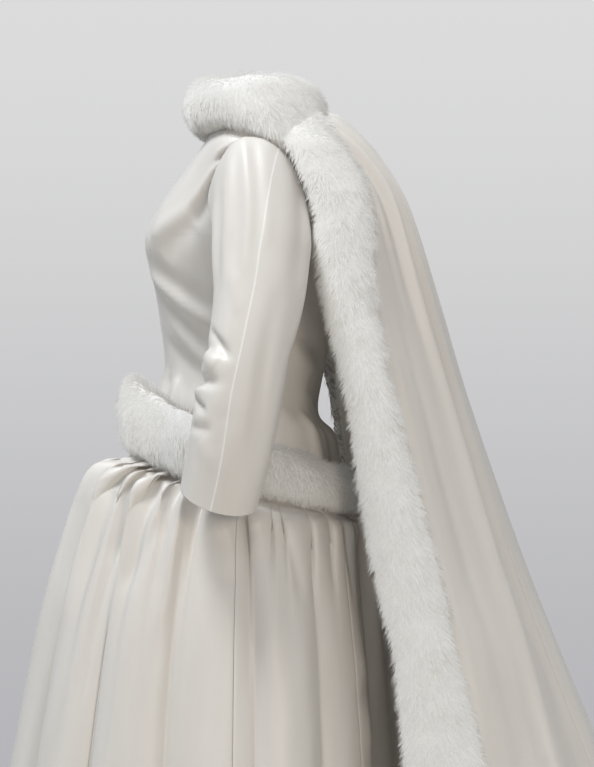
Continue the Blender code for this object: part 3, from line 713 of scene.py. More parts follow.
def tongues(degrees, below):
    """Height and sideways lean of the arches between the grooves, which fade below the band."""
    last, share, apart = between(GROOVES, degrees)
    width = apart / TONGUE_USUAL_DEGREES
    # A number from -0.5 to 0.5 that is each tongue's own, so that no two are alike
    own = np.sin(12.9898 * (last + 1)) * 0.5
    arch = 1 - np.abs(2 * share ** (1 + 0.8 * own) - 1) ** 1.8 - TONGUE_SINKS
    reach = TONGUE_REACH * np.clip(width, 0.6, 1.8) * (1.2 + own)
    fade = np.exp(-(np.maximum(below, 0) / reach) ** 1.3)
    plump = 1 + PLUMP * bell(below - PLUMP_BELOW_PUFF, PLUMP_RUN)
    high = TONGUE_HEIGHT * np.clip(width, 0.45, 1.35) * (1 + 0.5 * own) * fade * plump
    return high * arch, TONGUE_LEAN * high * own * np.sin(2 * np.pi * share)


def skirt_form(angle, at):
    """Outer face of the skirt; at counts rows of SKIRT upwards from the hem."""
    z_front, z_side, z_back, half_width, front, back, fold = section(SKIRT, at)
    to_band = np.maximum(at - LIP_ROW, 0) / (SKIRT_ROWS - LIP_ROW)
    squareness = SKIRT_SQUARENESS + (TORSO_SQUARENESS - SKIRT_SQUARENESS) * to_band
    x, y = oval(angle, half_width, front, back, squareness)
    z = tilted(angle, z_front, z_side, z_back)
    degrees = np.degrees(angle)
    _, share, _ = between(FOLD_CRESTS, degrees)
    deep = fold * (0.9 + 0.25 * np.sin(2 * angle + 0.5))
    wave = deep * (2 * np.abs(np.cos(np.pi * share)) ** 1.2 - 1)
    z_puff = tilted(angle, *SKIRT[PUFF_ROW][1:4])
    under = np.clip(TONGUES_END_ROW - at, 0, 1)
    rise, lean = tongues(degrees, z_puff - z)
    wave = wave + rise * under
    outward = unit(points_of(x / half_width ** 2, y / np.where(y < 0, front, back) ** 2, 0.0 * z))
    round_body = np.stack([-outward[..., 1], outward[..., 0], 0 * z], axis=-1)
    points = moved(points_of(x, y, z), outward, wave)
    return moved(points, round_body, FOLD_LEAN * deep * np.sin(2 * np.pi * share) + lean * under)


SKIRT_METRES_PER_DEGREE = 0.0047
SKIRT_CREASES = [
    # name           degrees  z      to_degrees z     wide    high
    ("front_break",    14, -0.520,   20, -0.640, 0.0100, -0.0052),
    ("front_glint",    30, -0.560,   34, -0.690, 0.0090,  0.0039),
    ("tongue_break",   47, -0.520,   42, -0.600, 0.0070, -0.0052),
    ("tongue_dent",    60, -0.545,   54, -0.640, 0.0080, -0.0059),
    ("gore_swell",     66, -0.560,   64, -0.700, 0.0110,  0.0036),
    ("cuff_hollow",    80, -0.560,   82, -0.640, 0.0140, -0.0044),
    ("side_swell",     98, -0.590,   99, -0.760, 0.0120,  0.0039),
    ("side_dent",     108, -0.560,  110, -0.650, 0.0070, -0.0044),
    ("blotch_1",      140, -0.730,  141, -0.770, 0.0130,  0.0039),
    ("blotch_2",      141, -0.800,  142, -0.870, 0.0150,  0.0044),
    ("blotch_gap",    140, -0.780,  141, -0.790, 0.0110, -0.0039),
    ("back_break",    150, -0.580,  146, -0.700, 0.0090, -0.0044),
    ("low_dent",       74, -0.900,   76, -1.180, 0.0160, -0.0039),
    ("low_swell",      92, -0.960,   94, -1.240, 0.0160,  0.0039),
    ("knee_break",     22, -1.000,   27, -1.160, 0.0150, -0.0044),
    ("knee_swell",     48, -1.050,   46, -1.260, 0.0170,  0.0039),
    ("tail_break",    170, -0.900,  168, -1.150, 0.0150, -0.0039),
    ("back_gore",     200, -0.600,  204, -0.760, 0.0100, -0.0044),
    ("right_break",   236, -0.610,  240, -0.720, 0.0090, -0.0047),
    ("right_swell",   262, -0.590,  260, -0.800, 0.0120,  0.0039),
    ("right_dent",    288, -0.560,  292, -0.690, 0.0100, -0.0047),
    ("right_glint",   318, -0.540,  314, -0.660, 0.0090,  0.0039),
    ("right_low",     270, -0.950,  274, -1.200, 0.0170, -0.0039),
    ("front_low",     340, -0.980,  338, -1.220, 0.0160,  0.0042),
]


def skirt_point(angle, at):
    points = skirt_form(angle, at)
    out = unit(points * np.array([1.0, 1.0, 0.0]) + np.array([0.0, 0.0, 1e-6]))
    table = in_metres(SKIRT_CREASES, SKIRT_METRES_PER_DEGREE)
    across = (np.degrees(angle) % 360.0) * SKIRT_METRES_PER_DEGREE
    return moved(points, out, creased(table, across, points[..., 2]))


# %% Cut and gather the seven gores
GORE_WIDTH = 0.26
COLUMNS_PER_GATHER = 15
skirt_rows = np.concatenate([np.linspace(0, 4, 34)[:-1], np.linspace(4, 7.4, 44)[:-1],
                             np.linspace(7.4, SKIRT_ROWS, 10)])


def skirt_gore(name, first, last):
    def surface(u, v):
        at = SKIRT_ROWS * v
        gap = 0.5 * SEAM_GAP / section(SKIRT, at)[3] * GATHERS / (2 * np.pi)
        return skirt_point(gather_angle(first + gap + (last - first - 2 * gap) * u), at)

    columns = round(COLUMNS_PER_GATHER * (last - first))
    return satin_panel(name + "_satin", name, close_to_seams(columns, GORE_WIDTH),
                       skirt_rows / SKIRT_ROWS, surface, ("first", "last"))


for gore in GORES:
    skirt_gore(*gore)


# %% [markdown]
# ## Train
# Three lengths of satin hang from the neckline under the collar, swing out behind, and lie on
# the floor. At the neck they are pleated finely. Lower down the pleats open into a few long
# ridges that run to the floor.

# %% Train sections, ridges and neck pleats
TRAIN = [
    # name          z_edge   z_back   half_width edge_y back_y fur_width fold
    ("top",         -0.0120,  0.0158, 0.1520, 0.042, 0.096, 0.040, 0.0010),
    ("heading",     -0.0200,  0.0230, 0.1660, 0.047, 0.119, 0.050, 0.0035),
    ("nape",        -0.0360,  0.0080, 0.1780, 0.058, 0.143, 0.056, 0.0065),
    ("shoulder",    -0.0620, -0.0400, 0.1890, 0.077, 0.187, 0.062, 0.0085),
    ("blade",       -0.1180, -0.1120, 0.2000, 0.099, 0.229, 0.066, 0.0110),
    ("ribs",        -0.2480, -0.2480, 0.2100, 0.114, 0.274, 0.060, 0.0130),
    ("waist",       -0.3840, -0.3840, 0.2220, 0.147, 0.315, 0.051, 0.0145),
    ("hip",         -0.5880, -0.5880, 0.2420, 0.176, 0.386, 0.074, 0.0165),
    ("thigh",       -0.7240, -0.7240, 0.2590, 0.204, 0.440, 0.074, 0.0180),
    ("photo_edge",  -0.8830, -0.8830, 0.2800, 0.220, 0.508, 0.096, 0.0195),
    ("knee",        -1.1000, -1.1000, 0.3070, 0.246, 0.608, 0.100, 0.0210),
    ("ankle",       -1.3200, -1.3200, 0.3370, 0.278, 0.730, 0.100, 0.0200),
]
TRAIL = [
    # name       rise    reach   fold, of the cloth that lies on the floor
    ("bend",     0.0330, 0.045, 0.0150),
    ("touch",    0.0080, 0.130, 0.0075),
    ("middle",   0.0055, 0.400, 0.0050),
    ("hem",      0.0050, 0.790, 0.0045),
]
HIP_ROW = 7
ANKLE_ROW = len(TRAIN) - 1
TRAIN_ROWS = ANKLE_ROW + len(TRAIL)
TRAIL_SPLAY = 0.50
TRAIL_CORNER_CUT = 0.16
TRAIN_RIDGES = [
    # name         at_neck at_hip at_floor wide height
    ("left_soft",    23.0,  24.0,  17.0,  9.0, 0.50),
    ("left_sharp",   42.0,  47.0,  35.0,  6.5, 1.00),
    ("left_back",    59.0,  67.0,  61.0,  7.0, 0.85),
    ("middle",       84.0,  90.0,  92.0,  9.0, 0.55),
    ("right_back",  114.0, 112.0, 120.0,  7.5, 0.80),
    ("right_sharp", 136.0, 134.0, 145.0,  7.0, 1.00),
    ("right_soft",  157.0, 157.0, 164.0,  9.0, 0.55),
]
# The cloth between the ridges lies this share of their height below the train's form
RIDGES_SINK = 0.35
# Narrow pleats let in at the neck; each fades where its row count says
NECK_PLEATS = [
    # name        degrees to_degrees wide  high    ends_at_row
    ("pleat_1",     36.0,  40.0,  1.5,  0.0070, 5.6),
    ("trough_1",    40.0,  43.5,  1.2, -0.0100, 7.0),
    ("pleat_2",     44.5,  48.0,  1.5,  0.0110, 9.6),
    ("pleat_3",     50.5,  55.0,  1.3, -0.0140, 9.0),
    ("pleat_4",     57.0,  62.0,  1.8,  0.0100, 10.5),
    ("pleat_5",     64.0,  70.0,  1.4, -0.0130, 8.6),
    ("pleat_6",     72.0,  77.0,  2.1,  0.0078, 6.2),
    ("pleat_7",     81.0,  83.0,  1.6, -0.0110, 8.0),
    ("pleat_8",     90.0,  91.0,  2.2,  0.0082, 7.0),
    ("pleat_9",     99.0,  97.0,  1.6, -0.0110, 8.8),
    ("pleat_10",   108.0, 105.0,  2.1,  0.0086, 6.6),
    ("pleat_11",   117.0, 113.0,  1.4, -0.0120, 9.4),
    ("pleat_12",   124.0, 119.0,  1.8,  0.0092, 8.0),
    ("pleat_13",   131.0, 126.0,  1.3, -0.0120, 7.2),
    ("pleat_14",   137.0, 134.0,  1.6,  0.0100, 9.8),
    ("pleat_15",   143.0, 140.0,  1.2, -0.0100, 6.8),
]


def crest(x, width):
    """Like a bell, but pinched at its top."""
    return np.exp(-0.8 * np.abs(x / width) ** 1.4)


def train_row(at):
    """One level of the train: heights, oval, fur width, fold height and reach over the floor."""
    rows = section(TRAIN, np.minimum(at, ANKLE_ROW))
    past = np.maximum(at - ANKLE_ROW, 0.0)
    knots = range(len(TRAIL) + 1)
    on_floor = at > ANKLE_ROW
    run = FLOOR + smooth_through(knots, [TRAIN[-1][1] - FLOOR] + [row[1] for row in TRAIL], past)
    reach = smooth_through(knots, [0.0] + [row[2] for row in TRAIL], past)
    fold = smooth_through(knots, [TRAIN[-1][7]] + [row[3] for row in TRAIL], past)
    rows[0] = np.where(on_floor, run, rows[0])
    rows[1] = np.where(on_floor, run, rows[1])
    rows[6] = np.where(on_floor, fold, rows[6])
    return rows + [reach]


def train_point(degrees, at):
    """Outer face of the train; degrees run from the left edge round the back to the right."""
    z_edge, z_back, half_width, edge_y, back_y, _, fold, reach = train_row(at)
    angle = np.radians(degrees)
    depth = back_y - edge_y
    x, y = half_width * np.cos(angle), edge_y + depth * np.sin(angle)
    z = z_edge + (z_back - z_edge) * np.sin(angle) ** 2
    hanging = np.minimum(at, ANKLE_ROW)
    ridges = sum(
        high * crest(degrees - smooth_through([0, HIP_ROW, ANKLE_ROW], (neck, hip, floor), hanging), wide)
        for _, neck, hip, floor, wide, high in TRAIN_RIDGES)
    rise = fold * (ridges - RIDGES_SINK)
    for _, neck, hip, wide, high, ends in NECK_PLEATS:
        way = neck + (hip - neck) * np.clip(at / ends, 0, 1)
        fade = np.clip(at / 0.8, 0, 1) * np.clip((ends - at) / (0.6 * ends), 0, 1) ** 1.5
        rise = rise + high * crest(degrees - way, wide * (1 + 0.10 * at)) * fade
    out = unit(points_of(np.cos(angle) / half_width, np.maximum(np.sin(angle), 0) / depth, 0 * z))
    flat = np.minimum(reach / TRAIL[1][2], 1.0)
    points = moved(points_of(x, y, z), out, rise * (1 - flat))
    points[..., 2] += (rise + RIDGES_SINK * fold) * flat
    cut = reach * (1 - TRAIL_CORNER_CUT * np.cos(angle) ** 2)
    return moved(points, unit(points_of(TRAIL_SPLAY * np.cos(angle), 1.0, 0.0)), cut)


TRAIN_METRES_PER_DEGREE = 0.0052
TRAIN_CREASES = [
    # name           degrees at     to_degrees at   wide    high, rows count as 0.17 m of cloth
    ("upper_slack",    34,  2.6,    37,  5.0, 0.0070, -0.0030),
    ("long_slack",     33,  5.2,    34,  8.0, 0.0110, -0.0036),
    ("hollow",         54,  4.0,    57,  8.6, 0.0100, -0.0040),
    ("edge_roll",      28,  7.6,    27, 10.6, 0.0120,  0.0030),
    ("drop_fold",      40,  8.4,    41, 11.0, 0.0110, -0.0050),
    ("far_fold",       76,  3.2,    80,  9.0, 0.0130,  0.0044),
    ("far_dent",       84,  5.0,    85, 10.8, 0.0120, -0.0040),
    ("back_dent",     102,  4.0,   103, 10.0, 0.0120, -0.0042),
    ("right_dent",    126,  3.0,   124,  9.6, 0.0110, -0.0040),
    ("right_slack",   148,  5.0,   150, 10.4, 0.0110, -0.0034),
    ("floor_left",     40, 12.6,    30, 14.4, 0.0160,  0.0040),
    ("floor_middle",   84, 12.4,    88, 14.6, 0.0180,  0.0036),
    ("floor_right",   138, 12.5,   148, 14.3, 0.0160,  0.0040),
]
TRAIN_METRES_PER_ROW = 0.17


def train_outward(degrees, at):
    def upwards(d, rows_up):
        return train_point(d, TRAIN_ROWS - rows_up)
    return facing(upwards, degrees, TRAIN_ROWS - at, 0.05)


def train_satin(degrees, at):
    points = train_point(degrees, at)
    out = train_outward(degrees, at)
    table = in_metres(TRAIN_CREASES, TRAIN_METRES_PER_DEGREE, TRAIN_METRES_PER_ROW)
    high = creased(table, degrees * TRAIN_METRES_PER_DEGREE, at * TRAIN_METRES_PER_ROW)
    points = moved(points, out, high)
    points[..., 2] = np.maximum(points[..., 2], FLOOR + CLOTH_WALL + 0.002)
    return points


# %% Cut and hang the three lengths
TRAIN_LENGTHS = [
    # name           first  last   seams
    ("train_left",     0.0,  60.0, ("last",)),
    ("train_middle",  60.0, 120.0, ("first", "last")),
    ("train_right",  120.0, 180.0, ("first",)),
]
TRAIN_LENGTH_WIDTH = 0.34
train_rows = np.concatenate([np.linspace(0, 3, 30)[:-1], np.linspace(3, 12, 56)[:-1],
                             np.linspace(12, TRAIN_ROWS, 24)])


def train_length(name, first, last, seams):
    def surface(u, v):
        at = TRAIN_ROWS * (1 - v)
        gap = np.degrees(0.5 * SEAM_GAP / train_row(at)[2])
        return train_satin(first + gap + (last - first - 2 * gap) * u, at)

    return satin_panel(name + "_satin", name, close_to_seams(90, TRAIN_LENGTH_WIDTH),
                       1 - train_rows[::-1] / TRAIN_ROWS, surface, seams)


for length in TRAIN_LENGTHS:
    train_length(*length)


# %% [markdown]
# ## The fur's form
# Collar, hip band and the two edgings of the train are pelts over a soft pad. Each pad is the
# CAD form drawn in by the depth of the pile. The hairs then fill that depth and end about
# where the solid ends.

# %% Forms of the fur pieces
BAND_MIDDLE_SIDE = -0.472
BAND_TILT = 0.056
BAND_LIFT = 0.011
BAND_HALF_HEIGHT = 0.0435
BAND_HALF_HEIGHT_SWING = 0.0120
BAND_HALF_THICKNESS = 0.0252
BAND_STAND_OFF = 0.0006
FUR_THICKNESS = 0.0240
FUR_STAND_OFF = 0.0010
# The edging rolls over the satin's edge, a little further at the waist
FUR_OVERHANG = 0.010
OVERHANG_AT_WAIST = 0.3
WAIST_ROW = 5.8
WAIST_RUN = 0.9
# Its top goes in under the collar: thin there, full again a few rows down
HIDDEN_ROWS = 2.2
HIDDEN_SHARE = 0.85
SWELL = 0.25
SWELL_ROW = 0.9
SWELL_RUN = 0.8
FUR_SECTION = [
    # name            across  over_edge  lift
    ("inner_edge",     1.00,   0.0,  0.00),
    ("under_1",        0.75,   0.0,  0.00),
    ("under_2",        0.50,   0.0,  0.00),
    ("under_3",        0.25,   0.0,  0.00),
    ("satin_edge",     0.00,   0.0,  0.00),
    ("lip_under",      0.00,   0.8,  0.12),
    ("lip_over",       0.00,   1.0,  0.45),
    ("rise",           0.08,   0.0,  0.86),
    ("crown",          0.35,   0.0,  1.00),
    ("fall",           0.70,   0.0,  0.92),
    ("inner_side",     0.96,   0.0,  0.50),
    ("closed",         1.00,   0.0,  0.00),
]
COLLAR = [
    # name    degrees  x      y       z      half_width  half_height  lean
    ("front",     0, 0.000, -0.0615, 0.0289, 0.0270, 0.0390,   0.0),
    ("bow",      38, 0.098, -0.0500, 0.0279, 0.0300, 0.0385,  -6.0),
    ("shoulder", 85, 0.152,  0.0140, 0.0289, 0.0340, 0.0385, -10.0),
    ("blade",   135, 0.108,  0.0760, 0.0339, 0.0270, 0.0280,  -4.0),
    ("back",    180, 0.000,  0.0900, 0.0349, 0.0250, 0.0180,   0.0),
]
# How deep the neck's oval is for its width, which tells the way outwards
COLLAR_OVAL = 0.62
# The collar settles over the tops of the two edgings: this far, and round this many degrees
COLLAR_DROOP = 0.046
DROOP_MIDDLE = 116.0
DROOP_SPREAD = 24.0
DROOP_OUTWARDS = 0.55


def band_form(u, v):
    """The hip band; u runs round the hips and v round the roll from its outermost line."""
    angle, turn = 2 * np.pi * u, 2 * np.pi * v
    half_width, front, back = TORSO[0][4:7]
    x, y = oval(angle, half_width, front, back, TORSO_SQUARENESS)
    c = np.cos(angle)
    middle = BAND_MIDDLE_SIDE + BAND_TILT * c + BAND_LIFT * c * c
    half_height = BAND_HALF_HEIGHT + BAND_HALF_HEIGHT_SWING * c
    out = unit(points_of(x / half_width ** 2, y / np.where(y < 0, front, back) ** 2, 0 * x))
    points = moved(points_of(x, y, middle), out, BAND_STAND_OFF + BAND_HALF_THICKNESS * (1 + np.cos(turn)))
    points[..., 2] += half_height * np.sin(turn)
    return points


def collar_form(u, v):
    """The collar; u runs round the neck and v round the roll from its outer side."""
    degrees, turn = wrapped(360.0 * u), 2 * np.pi * v
    knots = [row[1] for row in COLLAR]
    x, y, z, half_width, half_height, lean = [
        smooth_through(knots, [row[c] for row in COLLAR], np.abs(degrees)) for c in range(2, 8)]
    around = np.radians(degrees)
    out = unit(points_of(COLLAR_OVAL * np.sin(around), -np.cos(around), 0 * x))
    lean = np.radians(lean)
    wide, high = half_width * np.cos(turn), half_height * np.sin(turn)
    points = moved(points_of(np.sign(degrees) * x, y, z), out, wide * np.cos(lean) - high * np.sin(lean))
    points[..., 2] += wide * np.sin(lean) + high * np.cos(lean)
    droop = COLLAR_DROOP * bell(np.abs(degrees) - DROOP_MIDDLE, DROOP_SPREAD)
    droop = droop * np.clip(0.45 - np.sin(turn), 0, 1) * np.clip(0.5 + np.cos(turn), 0, 1)
    points[..., 2] -= droop
    return moved(points, out, DROOP_OUTWARDS * droop)


def edging_form(side, pile_depth=0.0):
    """The edging of one side of the train; v runs along it from the floor up, u across its section."""
    def form(u, v):
        at = TRAIN_ROWS * (1 - v)
        edge_y, back_y, fur_width = train_row(at)[3:6]
        knots = np.linspace(0, 1, len(FUR_SECTION))
        across, over_edge, lift = [
            smooth_through(knots, [point[c] for point in FUR_SECTION], u % 1.0) for c in (1, 2, 3)]
        width = fur_width * np.degrees(1 / (back_y - edge_y))
        overhang = FUR_OVERHANG * (1 + OVERHANG_AT_WAIST * bell(at - WAIST_ROW, WAIST_RUN))
        degrees = width * (across - over_edge * overhang / fur_width)
        hidden = np.clip(1.0 - at / HIDDEN_ROWS, 0, 1) * np.clip((0.90 - u % 1.0) / 0.22, 0, 1)
        tucked = (1.0 + SWELL * bell(at - SWELL_ROW, SWELL_RUN)) * (1 - HIDDEN_SHARE * hidden)
        away = FUR_STAND_OFF + (FUR_THICKNESS - pile_depth) * np.maximum(lift, 0) * tucked
        points = moved(train_point(degrees, at), train_outward(degrees, at), away)
        points[..., 2] = np.maximum(points[..., 2], FLOOR + 0.002)
        return points * np.array([side, 1.0, 1.0])
    return form


def drawn_in(form, depth):
    """The same form, smaller by a depth all round."""
    def smaller(u, v):
        return moved(form(u, v), facing(form, u, v), -depth)
    return smaller


# %% [markdown]
# ## Pelts
# A pelt is a grid rolled into a tube: its long edges meet and are merged. Soft lumps, a few
# centimetres wide and a millimetre or two high, keep it from looking turned on a lathe.

# %% Padded pelts
PILE_DEPTH = 0.0065
LUMP_HEIGHT = 0.0022
LUMP_SIZE = 0.045


def lumps(points, size, seed):
    """Slow uneven waves in space, between about -1 and 1."""
    chance = np.random.default_rng(seed)
    total = 0.0
    for _ in range(7):
        way = chance.normal(size=3)
        way = way / np.linalg.norm(way) * 2 * np.pi / (size * chance.uniform(0.7, 1.5))
        total = total + np.sin(points @ way + chance.uniform(0, 2 * np.pi))
    return total / 3.2


def pelt(name, node, form, columns, rows, seed, ends=False):
    shape = bmesh.new()
    bmesh.ops.create_grid(shape, x_segments=columns, y_segments=rows, size=1.0)
    flat = np.array([vertex.co for vertex in shape.verts])
    u, v = (flat[:, 0] + 1) / 2, (flat[:, 1] + 1) / 2
    points = form(u % 1.0, v if ends else v % 1.0)
    points = moved(points, facing(form, u, v), LUMP_HEIGHT * lumps(points, LUMP_SIZE, seed))
    points[:, 2] = np.maximum(points[:, 2], FLOOR + 0.002)
    for vertex, place in zip(shape.verts, points):
        vertex.co = place
    bmesh.ops.remove_doubles(shape, verts=shape.verts, dist=0.00005)
    if ends:
        bmesh.ops.holes_fill(shape, edges=shape.edges, sides=0)
    bmesh.ops.recalc_face_normals(shape, faces=shape.faces)
    mesh = bpy.data.meshes.new(name)
    shape.to_mesh(mesh)
    shape.free()
    mesh.shade_smooth()
    piece = bpy.data.objects.new(name, mesh)
    piece.data.materials.append(PELT)
    bpy.context.scene.collection.objects.link(piece)
    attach(piece, "root")
    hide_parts(node)
    print(f"{name}: {len(mesh.polygons)} faces")
    return piece


band_pad = drawn_in(band_form, PILE_DEPTH)
collar_pad = drawn_in(collar_form, PILE_DEPTH)
edging_pads = {side: edging_form(side, PILE_DEPTH) for side in (1, -1)}
pelt("hip_band_pelt", "hip_band", band_pad, 144, 36, 11)
pelt("collar_pelt", "collar", collar_pad, 120, 36, 12)
pelt("train_fur_l_pelt", "train_fur_l", edging_pads[1], 44, 180, 14, ends=True)
pelt("train_fur_r_pelt", "train_fur_r", edging_pads[-1], 44, 180, 15, ends=True)


# %% [markdown]
# ## Hairs
# One hair is a spike of three sides, a cone with its point merged. The pile is that
# spike copied thousands of times: its root is set on the pelt, it leans the way the fur is
# combed, and neighbours share a slow drift of lean and length, so that they gather into locks.
# Real pile scatters light between its hairs, so no side of it goes as dark as a hard surface
# would. For that, a hair's normals are turned half to the pelt's own and a little upwards.

# %% One spike
shape = bmesh.new()
bmesh.ops.create_cone(shape, cap_ends=False, segments=3, radius1=1.0, radius2=0.0, depth=1.0)
bmesh.ops.remove_doubles(shape, verts=shape.verts, dist=0.0001)
bmesh.ops.recalc_face_normals(shape, faces=shape.faces)
shape.verts.ensure_lookup_table()
SPIKE = np.array([vertex.co for vertex in shape.verts])
SPIKE[:, 2] += 0.5
SPIKE_FACES = np.array([[vertex.index for vertex in face.verts] for face in shape.faces])
shape.free()
print("one hair:", len(SPIKE), "points,", len(SPIKE_FACES), "faces")


# %% Sowing the hairs
def sown(form, columns, rows, count, weight, chance):
    """Root, normal and directions of hairs, spread evenly over a form's cells by their area."""
    u, v = np.meshgrid(np.linspace(0, 1, columns + 1), np.linspace(0.001, 0.999, rows + 1))
    points = form(u, v)
    normals = facing(form, u, v)
    across = points[:-1, 1:] - points[:-1, :-1]
    up = points[1:, :-1] - points[:-1, :-1]
    middle_u, middle_v = u[:-1, :-1] + 0.5 / columns, v[:-1, :-1] + 0.5 / rows
    share = np.linalg.norm(np.cross(across, up), axis=-1) * weight(middle_u, middle_v)
    cell = chance.choice(share.size, size=count, p=(share / share.sum()).ravel())
    j, i = np.divmod(cell, columns)
    a, b = chance.random((count, 1)), chance.random((count, 1))

    def within(grid):
        return ((1 - b) * ((1 - a) * grid[j, i] + a * grid[j, i + 1])
                + b * ((1 - a) * grid[j + 1, i] + a * grid[j + 1, i + 1]))

    return within(points), unit(within(normals)), unit(across[j, i]), unit(up[j, i]), middle_u[j, i]


# %% Growing a pile from its roots
HAIR_WIDTH = 0.00055
ROOT_DEPTH = 0.0012
# Degrees that a hair stands up from the pelt: on average, from lock to lock and from hair to hair
HAIR_LIFT = (26, 9, 8.0)
COMB_DRIFT = 0.16
COMB_SCATTER = 0.16
OWN_NORMAL = 0.50
SCATTER_UP = np.array([0.0, 0.0, 0.30])


def pile(name, node, form, size, count, weight, combing, length, seed):
    chance = np.random.default_rng(seed)
    root, normal, across, up, u = sown(form, size[0], size[1], count, weight, chance)
    root = moved(root, normal, LUMP_HEIGHT * lumps(root, LUMP_SIZE, seed) - ROOT_DEPTH)
    lay = combing(root, across, up, u)
    lay = lay + COMB_DRIFT * lumps(root, 0.022, seed + 40)[:, None] * np.cross(normal, lay)
    lay = lay + chance.normal(scale=COMB_SCATTER, size=root.shape)
    lay = unit(lay - np.sum(lay * normal, axis=1, keepdims=True) * normal)
    lift, lock_lift, own_lift = HAIR_LIFT
    lift = lift + lock_lift * lumps(root, 0.016, seed + 80) + chance.normal(scale=own_lift, size=count)
    lift = np.radians(lift)
    way = lay * np.cos(lift)[:, None] + normal * np.sin(lift)[:, None]
    long = length * (0.80 + 0.12 * lumps(root, 0.03, seed + 9) + 0.40 * chance.random(count))
    side = unit(np.cross(way, normal))
    third = np.cross(way, side)
    wide = HAIR_WIDTH * (0.8 + 0.4 * chance.random(count))
    x, y, z = SPIKE.T
    spread = side[:, None] * x[None, :, None] + third[:, None] * y[None, :, None]
    points = root[:, None] + spread * wide[:, None, None]
    points = points + (way * long[:, None])[:, None] * z[None, :, None]
    points[..., 2] = np.maximum(points[..., 2], FLOOR + 0.001)
    faces = SPIKE_FACES[None] + len(SPIKE) * np.arange(count)[:, None, None]
    mesh = bpy.data.meshes.new(name)
    mesh.from_pydata(points.reshape(-1, 3), [], faces.reshape(-1, 3))
    # A random tone for each hair, darkened towards the root as painted shade
    tone = chance.random(count)[:, None] * 0.55 + 0.45 * z[None, :]
    mesh.attributes.new("strand_tone_and_root_shade", "FLOAT", "POINT").data.foreach_set("value", tone.ravel())
    mesh.shade_smooth()
    faces_out = unit(spread[:, SPIKE_FACES].sum(axis=2))
    shading = unit(OWN_NORMAL * faces_out + (1 - OWN_NORMAL) * normal[:, None] + SCATTER_UP)
    mesh.normals_split_custom_set(np.repeat(shading.reshape(-1, 3), 3, axis=0))
    piece = bpy.data.objects.new(name, mesh)
    piece.data.materials.append(HAIR)
    piece.visible_shadow = False
    piece.visible_diffuse = False
    bpy.context.scene.collection.objects.link(piece)
    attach(piece, "root")
    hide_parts(node)
    print(f"{name}: {count} hairs, {3 * count} triangles")
    return piece


# %% Which way each piece is combed
def comb_roll(root, across, up, u):
    """Over the roll from the top to the foot, drifting towards the gown's back."""
    return -up + 0.35 * np.sign(root[:, :1]) * across


def comb_edging(root, across, up, u):
    """Down the train, fanning out to both edges of the pelt."""
    fan = np.clip((u - 0.74) / 0.14, -1.2, 1.2)[:, None]
    return -up + 0.5 * fan * across


# %% How dense each pile is: full where it shows, thin or bare against the cloth
def dense_band(u, v):
    return 0.12 + 0.88 * (np.cos(2 * np.pi * v) > -0.75)


def dense_collar(u, v):
    return 0.50 + 0.50 * (np.cos(2 * np.pi * v) > -0.8)


def dense_edging(u, v):
    """None on the side that lies on the satin, and fewer on the floor than above it."""
    return np.where((u > 0.40) & (u < 0.985), 1.0, 0.0) * np.where(v < 0.28, 0.35, 1.0)


# %% Grow the four piles
pile("hip_band_pile", "hip_band", band_pad, (260, 60), 38000, dense_band, comb_roll, 0.0135, 11)
pile("collar_pile", "collar", collar_pad, (220, 60), 36000, dense_collar, comb_roll, 0.0125, 12)
for side, letter, count, seed in ((1, "l", 50000, 14), (-1, "r", 30000, 15)):
    pile("train_fur_" + letter + "_pile", "train_fur_" + letter, edging_pads[side], (88, 400),
         count, dense_edging, comb_edging, 0.0145, seed)


# %% [markdown]


# %% [markdown]
# ## Studio
# A pale floor, a pale grey surround that is brighter above, and one soft light high over the
# gown, in front. Three weak warm lights reach the folds that the first one can't: one beside the
# camera, one further round on the train's side, and one behind.

# %% Floor
FLOOR_RADIUS = 3.2
FLOOR_MIDDLE = (0.0, 0.2, FLOOR)
shape = bmesh.new()
bmesh.ops.create_circle(shape, cap_ends=True, segments=96, radius=FLOOR_RADIUS)
mesh = bpy.data.meshes.new("studio_floor")
shape.to_mesh(mesh)
shape.free()
floor = bpy.data.objects.new("studio_floor", mesh)
mesh.transform(Matrix.Translation(FLOOR_MIDDLE))
bpy.context.scene.collection.objects.link(floor)
made, tree, shader = start_material("painted_studio_floor")
shader.inputs["Base Color"].default_value = linear("#D4D0CA")
shader.inputs["Roughness"].default_value = 0.8
mesh.materials.append(made)


# %% Surround
GLOW_LOW = (0.29, 0.300, 0.310, 1.0)
GLOW_HIGH = (0.44, 0.475, 0.52, 1.0)
GLOW_COMES_FROM = (0.05, -0.20, 0.98)
world = bpy.data.worlds.new("studio")
bpy.context.scene.world = world
world.use_nodes = True
tree = world.node_tree
place = add_node(tree, "ShaderNodeTexCoord")
height = add_node(tree, "ShaderNodeSeparateXYZ", Vector=place.outputs["Generated"])
share = add_node(tree, "ShaderNodeMapRange", {"interpolation_type": "SMOOTHSTEP"},
                 Value=height.outputs["Z"], From_Min=-0.16, From_Max=0.15)
backdrop = add_node(tree, "ShaderNodeMix", {"data_type": "RGBA"}, Factor=share.outputs["Result"],
                    _6=linear("#B5B5B9"), _7=linear("#DCDCDC"))
toward_front = add_node(tree, "ShaderNodeVectorMath", {"operation": "DOT_PRODUCT"},
                        _0=place.outputs["Generated"], _1=GLOW_COMES_FROM)
front_share = add_node(tree, "ShaderNodeMapRange", Value=toward_front.outputs["Value"], From_Min=-0.9,
                       From_Max=0.9)
glow = add_node(tree, "ShaderNodeMix", {"data_type": "RGBA"}, Factor=front_share.outputs["Result"],
                _6=GLOW_LOW, _7=GLOW_HIGH)
seen = add_node(tree, "ShaderNodeLightPath")
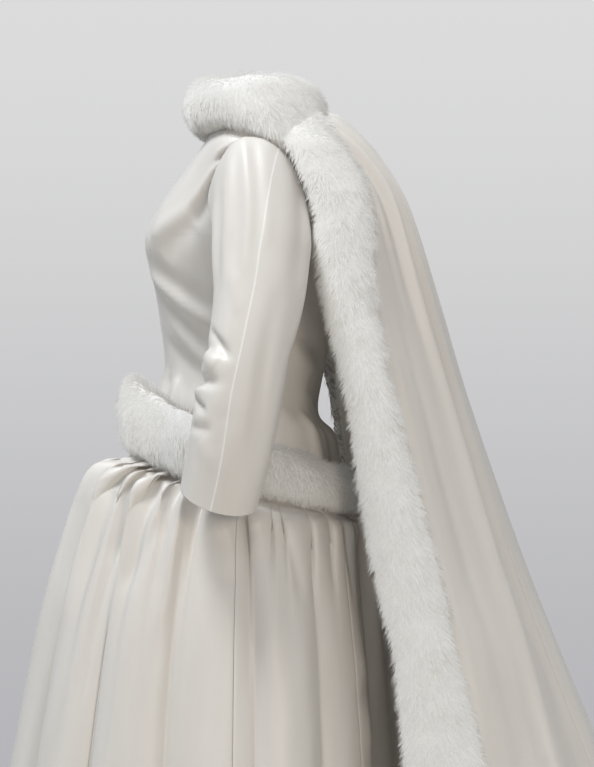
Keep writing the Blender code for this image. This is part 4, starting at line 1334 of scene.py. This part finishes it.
surround = add_node(tree, "ShaderNodeMix", {"data_type": "RGBA"}, Factor=seen.outputs["Is Camera Ray"],
                    _6=glow.outputs[2], _7=backdrop.outputs[2])
tree.links.new(surround.outputs[2], tree.nodes["Background"].inputs["Color"])


# %% Lights
def soft_light(name, place, target, size, watts, colour):
    data = bpy.data.lights.new(name, "AREA")
    data.shape = "SQUARE"
    data.size = size
    data.energy = watts
    data.color = colour
    lamp = bpy.data.objects.new(name, data)
    lamp.location = place
    lamp.rotation_euler = (Vector(target) - Vector(place)).to_track_quat("-Z", "Y").to_euler()
    bpy.context.scene.collection.objects.link(lamp)
    return lamp


GOWN_MIDDLE = (0.0, 0.1, -0.4)
LIGHTS = [
    # name           place              size  watts  colour
    ("key_overhead", (0.7, -1.3, 3.5),  1.1,  146.0, (0.94, 0.97, 1.0)),
    ("fill_camera",  (4.2, -0.4, -0.1), 0.8,    9.0, (1.0, 0.90, 0.77)),
    ("fill_train",   (3.9, 1.3, 0.1),   0.8,   29.0, (1.0, 0.88, 0.74)),
    ("fill_behind",  (-1.8, 3.4, 1.4),  1.2,   17.0, (1.0, 0.95, 0.88)),
]
for name, place, size, watts, colour in LIGHTS:
    soft_light(name, place, GOWN_MIDDLE, size, watts, colour)
print("lights:", [row[0] for row in LIGHTS])


# %% Camera, level and square to the gown's left side
AZIMUTH = math.radians(87.8)
DISTANCE = 4.0
LOOK_AT = Vector((0.0, 0.0743, -0.362))
FRAME_HEIGHT = 1.096
SENSOR = 36.0
camera = bpy.data.objects.new("camera", bpy.data.cameras.new("camera"))
bpy.context.scene.collection.objects.link(camera)
toward = Vector((math.sin(AZIMUTH), -math.cos(AZIMUTH), 0.0))
camera.location = LOOK_AT + DISTANCE * toward
camera.rotation_euler = (-toward).to_track_quat("-Z", "Y").to_euler()
camera.data.sensor_width = SENSOR
camera.data.lens = SENSOR * DISTANCE / FRAME_HEIGHT
bpy.context.scene.camera = camera
bpy.context.scene.view_settings.view_transform = "Standard"
print("camera", [round(c, 3) for c in camera.location], "lens", round(camera.data.lens, 1))
